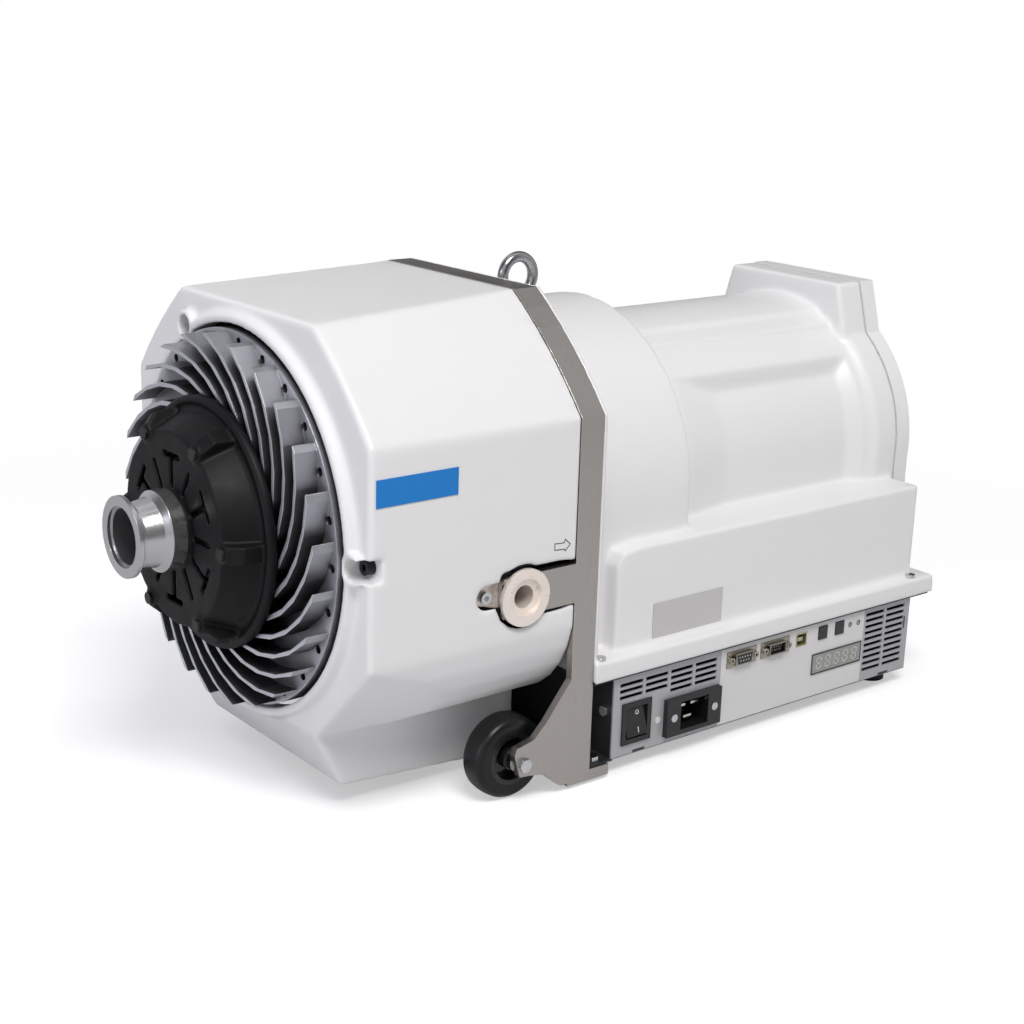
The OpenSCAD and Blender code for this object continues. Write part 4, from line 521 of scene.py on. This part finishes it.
bead = []
for k in range(bead_sides):
    angle = 2 * math.pi * k / bead_sides
    bead.append((guard_back - bead_radius + bead_radius * math.cos(angle),
                 bead_at + bead_radius * math.sin(angle)))
guard_extras = [spun(bead, round_steps, lambda x, y, z: (x, y, shaft_height + z))]
rib_front, rib_back = guard_front - rib_sink, guard_back - rib_sink
rib_lines = [(rib_front, rib_start), (rib_front + rib_slope, rib_reach),
             (rib_back, rib_start), (rib_back, rib_reach)]
for boss in range(boss_count):
    angle = 2 * math.pi * boss / boss_count
    c, s = math.cos(angle), math.sin(angle)
    corners = [(x, side * s - out * c, shaft_height + out * s + side * c)
               for x, out in rib_lines for side in (-rib_half, rib_half)]
    guard_extras.append((corners, box_faces))
guard = moulded("front_guard_moulding", "front_guard", voxel=0.0009, rounds=4,
                ease=lambda points: np.ones(len(points)), keep=0.5, added=guard_extras)
guard.data.materials.append(guard_plastic)
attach(guard, "root")
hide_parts("front_guard")
dress(screw_black, "guard_screws")


# Inlet and exhaust: bright turned aluminium flanges with the fine rings that the lathe leaves.
# The inlet screws into the housing's hub, and one screw through a lug holds the exhaust.
lathe_rings, lathe_wobble, lathe_depth = 90.0, 0.3, 0.00001
lathe_sheen = 0.75
inlet_axis = (0, 0, shaft_height)
exhaust_axis = (-0.110, 0.0, 0.153)


def turned_finish(name, colour, rough, metal, centre, axis):
    material = finish(name, colour, rough, metal=metal, grain=1500.0, depth=0.000004,
                      wear=0.08, worn_colour=(0.85, 0.85, 0.86))
    tree = material.node_tree
    surface = tree.nodes["Principled BSDF"]
    swirl = put(tree, "Tangent", {})
    swirl.direction_type = "RADIAL"
    swirl.axis = axis
    place = put(tree, "TexCoord", {})
    shift = put(tree, "VectorMath", {0: place.outputs["Object"], 1: centre}, "SUBTRACT")
    rings = put(tree, "TexWave", {"Scale": lathe_rings, "Distortion": lathe_wobble,
                                  "Vector": shift.outputs[0]})
    rings.wave_type = "RINGS"
    rings.rings_direction = axis
    before = surface.inputs["Normal"].links[0].from_socket
    bump = put(tree, "Bump", {"Strength": 1.0, "Distance": lathe_depth,
                              "Height": rings.outputs["Fac"], "Normal": before})
    feed(tree, surface, {"Anisotropic": lathe_sheen, "Tangent": swirl.outputs[0],
                         "Normal": bump.outputs["Normal"]})
    return material


turned_inlet = turned_finish("turned_inlet", (0.52, 0.52, 0.53), rough=0.20, metal=0.9,
                             centre=inlet_axis, axis="X")
turned_exhaust = turned_finish("turned_exhaust", (0.93, 0.84, 0.77), rough=0.30, metal=0.5,
                               centre=exhaust_axis, axis="Y")
dress(turned_inlet, "inlet_port")
dress(turned_exhaust, "exhaust_port")


# Control box: a folded black steel box with the inverter's board and capacitors inside, and a
# silver-grey panel of sockets, keys and vents along its side, held by small screws.
black_powder = finish("black_powder", (0.02, 0.02, 0.021), rough=0.5, grain=1200.0,
                      depth=0.00004, shade=0.15, wear=0.3, worn_colour=(0.10, 0.10, 0.10))
panel_paint = finish("panel_paint", (0.44, 0.44, 0.46), rough=0.42, metal=0.25,
                     grain=1200.0, shade=0.04, edge=0.0003, wear=0.2)
label_film = finish("label_film", (0.70, 0.69, 0.695), rough=0.42, grain=900.0,
                    depth=0.000008, shade=0.02, edge=0.0002)
circuit_board = finish("circuit_board", (0.02, 0.14, 0.05), rough=0.3, grain=1500.0,
                       shade=0.2, edge=0.0002, coat=0.4)
capacitor_sleeve = finish("capacitor_sleeve", (0.02, 0.03, 0.09), rough=0.3, grain=900.0,
                          depth=0.00001, edge=0.0004)
gloss_black = finish("gloss_black", (0.012, 0.012, 0.013), rough=0.16, grain=900.0,
                     depth=0.000008, shade=0.1, wear=0.2, worn_colour=(0.05, 0.05, 0.05))
socket_metal = finish("socket_metal", (0.40, 0.37, 0.31), rough=0.3, metal=1.0,
                      grain=1500.0, depth=0.00001, shade=0.1, wear=0.5,
                      worn_colour=(0.70, 0.68, 0.62))
# Painted shade inside the hollows of the socket shells.
paint_hollow_shade(socket_metal, reach=0.003, dark=0.15)
usb_metal = finish("usb_metal", (0.52, 0.52, 0.30), rough=0.3, metal=0.8, grain=1500.0,
                   depth=0.00001, edge=0.0003)
nickel = finish("nickel", (0.66, 0.64, 0.58), rough=0.2, metal=1.0, grain=1500.0,
                depth=0.000006, edge=0.0003)
key_rubber = finish("key_rubber", (0.030, 0.030, 0.033), rough=0.5, grain=1500.0,
                    edge=0.0006, wear=0.2)
amber_lens = finish("amber_lens", (0.34, 0.30, 0.26), rough=0.2, grain=900.0,
                    depth=0.000004, edge=0.0003)
display_film = finish("display_film", (0.30, 0.31, 0.29), rough=0.25, grain=900.0,
                      depth=0.000004, edge=0.0003)
dress(black_powder, "control_box")
dress(panel_paint, "io_panel")
dress(label_film, "panel_label")
dress(circuit_board, "inverter_board")
dress(capacitor_sleeve, "capacitors")
dress(gloss_black, "switch_bezel", "power_rocker", "mains_inlet")
dress(nickel, "inlet_blades")
dress(usb_metal, "usb_socket")
dress(socket_metal, "remote_socket", "analog_plug")
dress(key_rubber, "up_button", "down_button")
dress(amber_lens, "status_leds")
dress(display_film, "display_window")


# Printed marks and thin trim of the panel: the display's border and its digits, the rings round
# the two lamps, the slots that its hooks go in, a plug in a spare hole and the panel's lower seam.
ink_black = finish("ink_black", (0.02, 0.02, 0.022), rough=0.5, grain=900.0, depth=0.000004,
                   edge=0.0001)
ink_white = finish("ink_white", (0.70, 0.70, 0.70), rough=0.5, grain=900.0, depth=0.000004,
                   edge=0.0001)
segment_grey = finish("segment_grey", (0.52, 0.53, 0.50), rough=0.4, grain=900.0,
                      depth=0.000004, edge=0.0001)
panel_front = -0.150
label_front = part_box("panel_label")[0][1]
window_low, window_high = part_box("display_window")
print_depth = 0.00012
circle_steps = 24


def mesh_piece(name, points, faces, material):
    mesh = bpy.data.meshes.new(name)
    mesh.from_pydata(points, [], faces)
    outward = bmesh.new()
    outward.from_mesh(mesh)
    bmesh.ops.recalc_face_normals(outward, faces=outward.faces)
    outward.to_mesh(mesh)
    outward.free()
    mesh.materials.append(material)
    piece = bpy.data.objects.new(name, mesh)
    bpy.context.scene.collection.objects.link(piece)
    return piece


# Flat shapes on the panel's side, given as outlines of (x, z) points, with front their nearest y.
def flat_piece(name, outlines, front, thick, material, body):
    points, faces = [], []
    for outline in outlines:
        start, count = len(points), len(outline)
        points += [(x, front, z) for x, z in outline]
        points += [(x, front + thick, z) for x, z in outline]
        faces.append([start + k for k in range(count)])
        faces.append([start + count + k for k in reversed(range(count))])
        for k in range(count):
            j = (k + 1) % count
            faces.append([start + k, start + count + k, start + count + j, start + j])
    piece = mesh_piece(name, points, faces, material)
    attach(piece, body)
    return piece


def rectangle(x1, x2, z1, z2):
    return [(x1, z1), (x2, z1), (x2, z2), (x1, z2)]


def border(x1, x2, z1, z2, wide):
    return [rectangle(x1, x2, z1, z1 + wide), rectangle(x1, x2, z2 - wide, z2),
            rectangle(x1, x1 + wide, z1 + wide, z2 - wide),
            rectangle(x2 - wide, x2, z1 + wide, z2 - wide)]


def disc(x, z, radius, steps=circle_steps):
    angles = [2 * math.pi * k / steps for k in range(steps)]
    return [(x + radius * math.cos(angle), z + radius * math.sin(angle)) for angle in angles]


def hoop(x, z, inner, outer):
    near, far = disc(x, z, inner), disc(x, z, outer)
    return [[near[k - 1], far[k - 1], far[k], near[k]] for k in range(circle_steps)]


border_over, border_line = 0.0004, 0.0011
border_lines = border(window_low[0] - border_over, window_high[0] + border_over,
                      window_low[2] - border_over, window_high[2] + border_over, border_line)
flat_piece("display_border", border_lines, window_low[1] - print_depth, print_depth,
           ink_black, "root")

digit_count, digit_margin = 5, 0.003
digit_wide, digit_high, digit_line, digit_lean = 0.0062, 0.0102, 0.0011, 0.09
bar_gap, bar_end = digit_line * 0.35, digit_line * 0.5
window_middle = (window_low[2] + window_high[2]) / 2
digit_step = (window_high[0] - window_low[0] - 2 * digit_margin) / digit_count
digit_half = digit_high / 2
digit_low = window_middle - digit_half
segments = []
for digit in range(digit_count):
    left = window_low[0] + digit_margin + digit_step * digit + (digit_step - digit_wide) / 2
    bars = []
    for level in (0.0, digit_half - digit_line / 2, digit_high - digit_line):
        bars.append(rectangle(left + digit_line + bar_gap,
                              left + digit_wide - digit_line - bar_gap,
                              digit_low + level, digit_low + level + digit_line))
    for level in (digit_low, digit_low + digit_half):
        for edge in (left, left + digit_wide - digit_line):
            bars.append(rectangle(edge, edge + digit_line, level + bar_gap + bar_end,
                                  level + digit_half - bar_gap - bar_end))
    segments += [[(x + (z - window_middle) * digit_lean, z) for x, z in bar] for bar in bars]
flat_piece("display_digits", segments, window_low[1] - print_depth, print_depth,
           segment_grey, "root")

lamp_centres = ((0.2263, 0.0646), (0.2361, 0.0645))
lamp_inner, lamp_outer = 0.0013, 0.0022
lamp_rings = []
for x, z in lamp_centres:
    lamp_rings += hoop(x, z, lamp_inner, lamp_outer)
flat_piece("lamp_rings", lamp_rings, label_front - print_depth, print_depth, ink_black,
           "root")

slot_low, slot_high = 0.0128, 0.0145
lower_slots = ((-0.0024, 0.0093), (0.131, 0.143), (0.2665, 0.2784))
side_slot = (0.293, 0.2945, 0.048, 0.058)
slots = [rectangle(x1, x2, slot_low, slot_high) for x1, x2 in lower_slots]
slots.append(rectangle(*side_slot))
flat_piece("hook_slots", slots, panel_front - print_depth, print_depth, ink_black, "root")

plug_x, plug_z, plug_radius, plug_proud = 0.021, 0.0323, 0.0026, 0.0006
flat_piece("hole_plug", [disc(plug_x, plug_z, plug_radius)], panel_front - plug_proud,
           plug_proud, ink_white, "root")

panel_left, panel_right = -0.0225, 0.2985
seam_low, seam_high = 0.0121, 0.0124
seam = rectangle(panel_left, panel_right, seam_low, seam_high)
flat_piece("panel_seam", [seam], panel_front - print_depth, print_depth, ink_black, "root")


# Socket inserts: the black plastic inside the two metal D-shaped shells, with its rows of holes
# in one and of pins in the other.
shell_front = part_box("remote_socket")[0][1]
remote_at, analog_at, socket_height = 0.1045, 0.1406, 0.06366
remote_size, analog_size = (0.0165, 0.0075), (0.0158, 0.0068)
insert_slant = 0.0012
hole_across, hole_rows, hole_radius, hole_steps = 0.00276, 0.00284, 0.0006, 12
hole_proud, analog_proud = print_depth * 1.5, 0.0008


def insert_outline(x, wide, high):
    low, top = socket_height - high / 2, socket_height + high / 2
    return [(x - wide / 2 + insert_slant, low), (x + wide / 2 - insert_slant, low),
            (x + wide / 2, top), (x - wide / 2, top)]


flat_piece("remote_insert", [insert_outline(remote_at, *remote_size)],
           shell_front - print_depth, print_depth, ink_black, "root")
pin_holes = [disc(remote_at + (k - 2 + row / 2) * hole_across,
                  socket_height + (0.5 - row) * hole_rows, hole_radius, hole_steps)
             for row in (0, 1) for k in range(5 - row)]
flat_piece("remote_holes", pin_holes, shell_front - hole_proud, print_depth, segment_grey,
           "root")
flat_piece("analog_insert", [insert_outline(analog_at, *analog_size)],
           panel_front - analog_proud, analog_proud, ink_black, "root")


# Rocker marks: a ring and a bar printed in white on the rocker's two halves, for off and on.
# They follow the rocker's bent face and tip with it.
off_x, off_z, off_inner, off_outer = 0.0010, 0.0432, 0.0010, 0.0017
on_outline = rectangle(0.0006, 0.0013, 0.0285, 0.0325)
ray_start = -0.5
mark_proud = print_depth * 1.2


def skin_of(mesh):
    return BVHTree.FromPolygons([vertex.co for vertex in mesh.vertices],
                                [tuple(face.vertices) for face in mesh.polygons])


def skin_at(skin, x, z):
    return skin.ray_cast(Vector((x, ray_start, z)), Vector((0, 1, 0)))[0].y


# Lays a print that was drawn flat at y = 0 onto a skin, so that it stands proud of it.
def lay_on(piece, skin, proud):
    for vertex in piece.data.vertices:
        vertex.co.y += skin_at(skin, vertex.co.x, vertex.co.z) - proud


rocker_skin = skin_of(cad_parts["power_rocker"].data)
marks = {"off_ring": hoop(off_x, off_z, off_inner, off_outer), "on_bar": [on_outline]}
for name, outlines in marks.items():
    mark = flat_piece(name, outlines, 0.0, print_depth, ink_white, "rocker")
    lay_on(mark, rocker_skin, mark_proud)


# Data label: a plain grey self-adhesive film on the flat side of the cowl. Its place in depth
# comes from the moulding's skin, so that no corner sinks in.
data_film = finish("data_film", (0.55, 0.54, 0.535), rough=0.4, grain=900.0, depth=0.000006,
                   shade=0.03, edge=0.0002)
film_outline = rectangle(0.0175, 0.087, 0.0932, 0.1205)
film_thick = 0.0003
probe_columns, probe_rows = (0.02, 0.05, 0.085), (0.095, 0.118)
cowl_skin = skin_of(cowl.data)
film_back = min(skin_at(cowl_skin, x, z) for x in probe_columns for z in probe_rows)
flat_piece("data_label", [film_outline], film_back - film_thick, film_thick, data_film,
           "root")


# Flow arrow: the outline of an arrow, printed in black on the shroud above the exhaust. It shows
# which way the gas leaves.
arrow_points = [(-0.0848, 0.1854), (-0.0846, 0.1809), (-0.0763, 0.1804), (-0.0754, 0.1790),
                (-0.0712, 0.1832), (-0.0758, 0.1873), (-0.0765, 0.1849)]
arrow_line = 0.00032
arrow_proud = print_depth * 0.8


def stroke(start, end, half):
    (x1, z1), (x2, z2) = start, end
    length = math.hypot(x2 - x1, z2 - z1)
    dx, dz = (x2 - x1) / length * half, (z2 - z1) / length * half
    return [(x1 - dx + dz, z1 - dz - dx), (x2 + dx + dz, z2 + dz - dx),
            (x2 + dx - dz, z2 + dz + dx), (x1 - dx - dz, z1 - dz + dx)]


strokes = [stroke(start, end, arrow_line)
           for start, end in zip(arrow_points, arrow_points[1:] + arrow_points[:1])]
arrow = flat_piece("flow_arrow", strokes, 0.0, print_depth, ink_black, "root")
lay_on(arrow, skin_of(shroud.data), arrow_proud)


# Band frame: a bent stainless strip round the pump with the caster ears and feet welded to it.
# The strip is satin-brushed along its length.
brushed_stainless = finish("brushed_stainless", (0.46, 0.435, 0.41), rough=0.34, metal=1.0,
                           grain=900.0, stretch=(1.0, 0.25, 0.06), depth=0.000012,
                           shade=0.10, scatter=0.10, edge=0.0007, wear=0.7,
                           worn_colour=(0.78, 0.76, 0.73))
dress(brushed_stainless, "strap_frame")


# Lifting eye: a forged and zinc-plated eye bolt, screwed through the cowl into the motor. The
# plating leaves the broad unevenness of the forging.
forged_zinc = finish("forged_zinc", (0.40, 0.40, 0.41), rough=0.24, metal=1.0, grain=500.0,
                     depth=0.00004, shade=0.15, scatter=0.08, wear=0.3)
dress(forged_zinc, "lifting_eye")


# Wheels: solid rubber tyres with rounded shoulders, moulded onto glossy nylon hubs that turn on
# the axle bolts. The rear stands on two rubber feet.
tyre_rubber = finish("tyre_rubber", (0.006, 0.006, 0.007), rough=0.34, grain=600.0,
                     depth=0.00003, shade=0.2, scatter=0.10, edge=0.0008, wear=0.2,
                     worn_colour=(0.02, 0.02, 0.02))
feed(tyre_rubber.node_tree, tyre_rubber.node_tree.nodes["Principled BSDF"],
     {"Specular IOR Level": 0.35})
hub_nylon = finish("hub_nylon", (0.012, 0.012, 0.013), rough=0.16, grain=700.0,
                   depth=0.00001, edge=0.0008, wear=0.1)
tyre_radius, tyre_seat, tyre_shoulder, tread_crown = 0.030, 0.019, 0.0055, 0.0004
shoulder_steps, shoulder_turn = 7, math.radians(15)
tyre_crease = math.radians(50)
for side in ("left", "right"):
    low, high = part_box("wheel_tyre_" + side)
    middle = (Vector(low) + Vector(high)) / 2
    half = (high[1] - low[1]) / 2
    profile = [(-half, tyre_seat)]
    for k in range(shoulder_steps):
        bend = shoulder_turn * k
        profile.append((-half + tyre_shoulder * (1 - math.cos(bend)),
                        tyre_radius - tread_crown - tyre_shoulder * (1 - math.sin(bend))))
    profile.append((0.0, tyre_radius))
    profile += [(-across, radius) for across, radius in reversed(profile[:-1])]
    points, faces = spun(profile, round_steps, lambda across, x, z: (
        middle.x + x, middle.y + across, middle.z + z))
    tyre = mesh_piece("tyre_" + side, points, faces, tyre_rubber)
    tyre.data.shade_smooth()
    tyre.data.set_sharp_from_angle(angle=tyre_crease)
    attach(tyre, side + "_wheel")
    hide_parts("wheel_tyre_" + side)
dress(tyre_rubber, "rear_feet")
dress(hub_nylon, "wheel_hub_left", "wheel_hub_right")


# Name plate: a plain blue self-adhesive plate on the shroud's side, with the fine grain of a
# printed film.
blue_film = finish("blue_film", (0.0, 0.19, 0.58), rough=0.5, grain=900.0, depth=0.000006,
                   shade=0.02, edge=0.0002)
dress(blue_film, "name_plate")
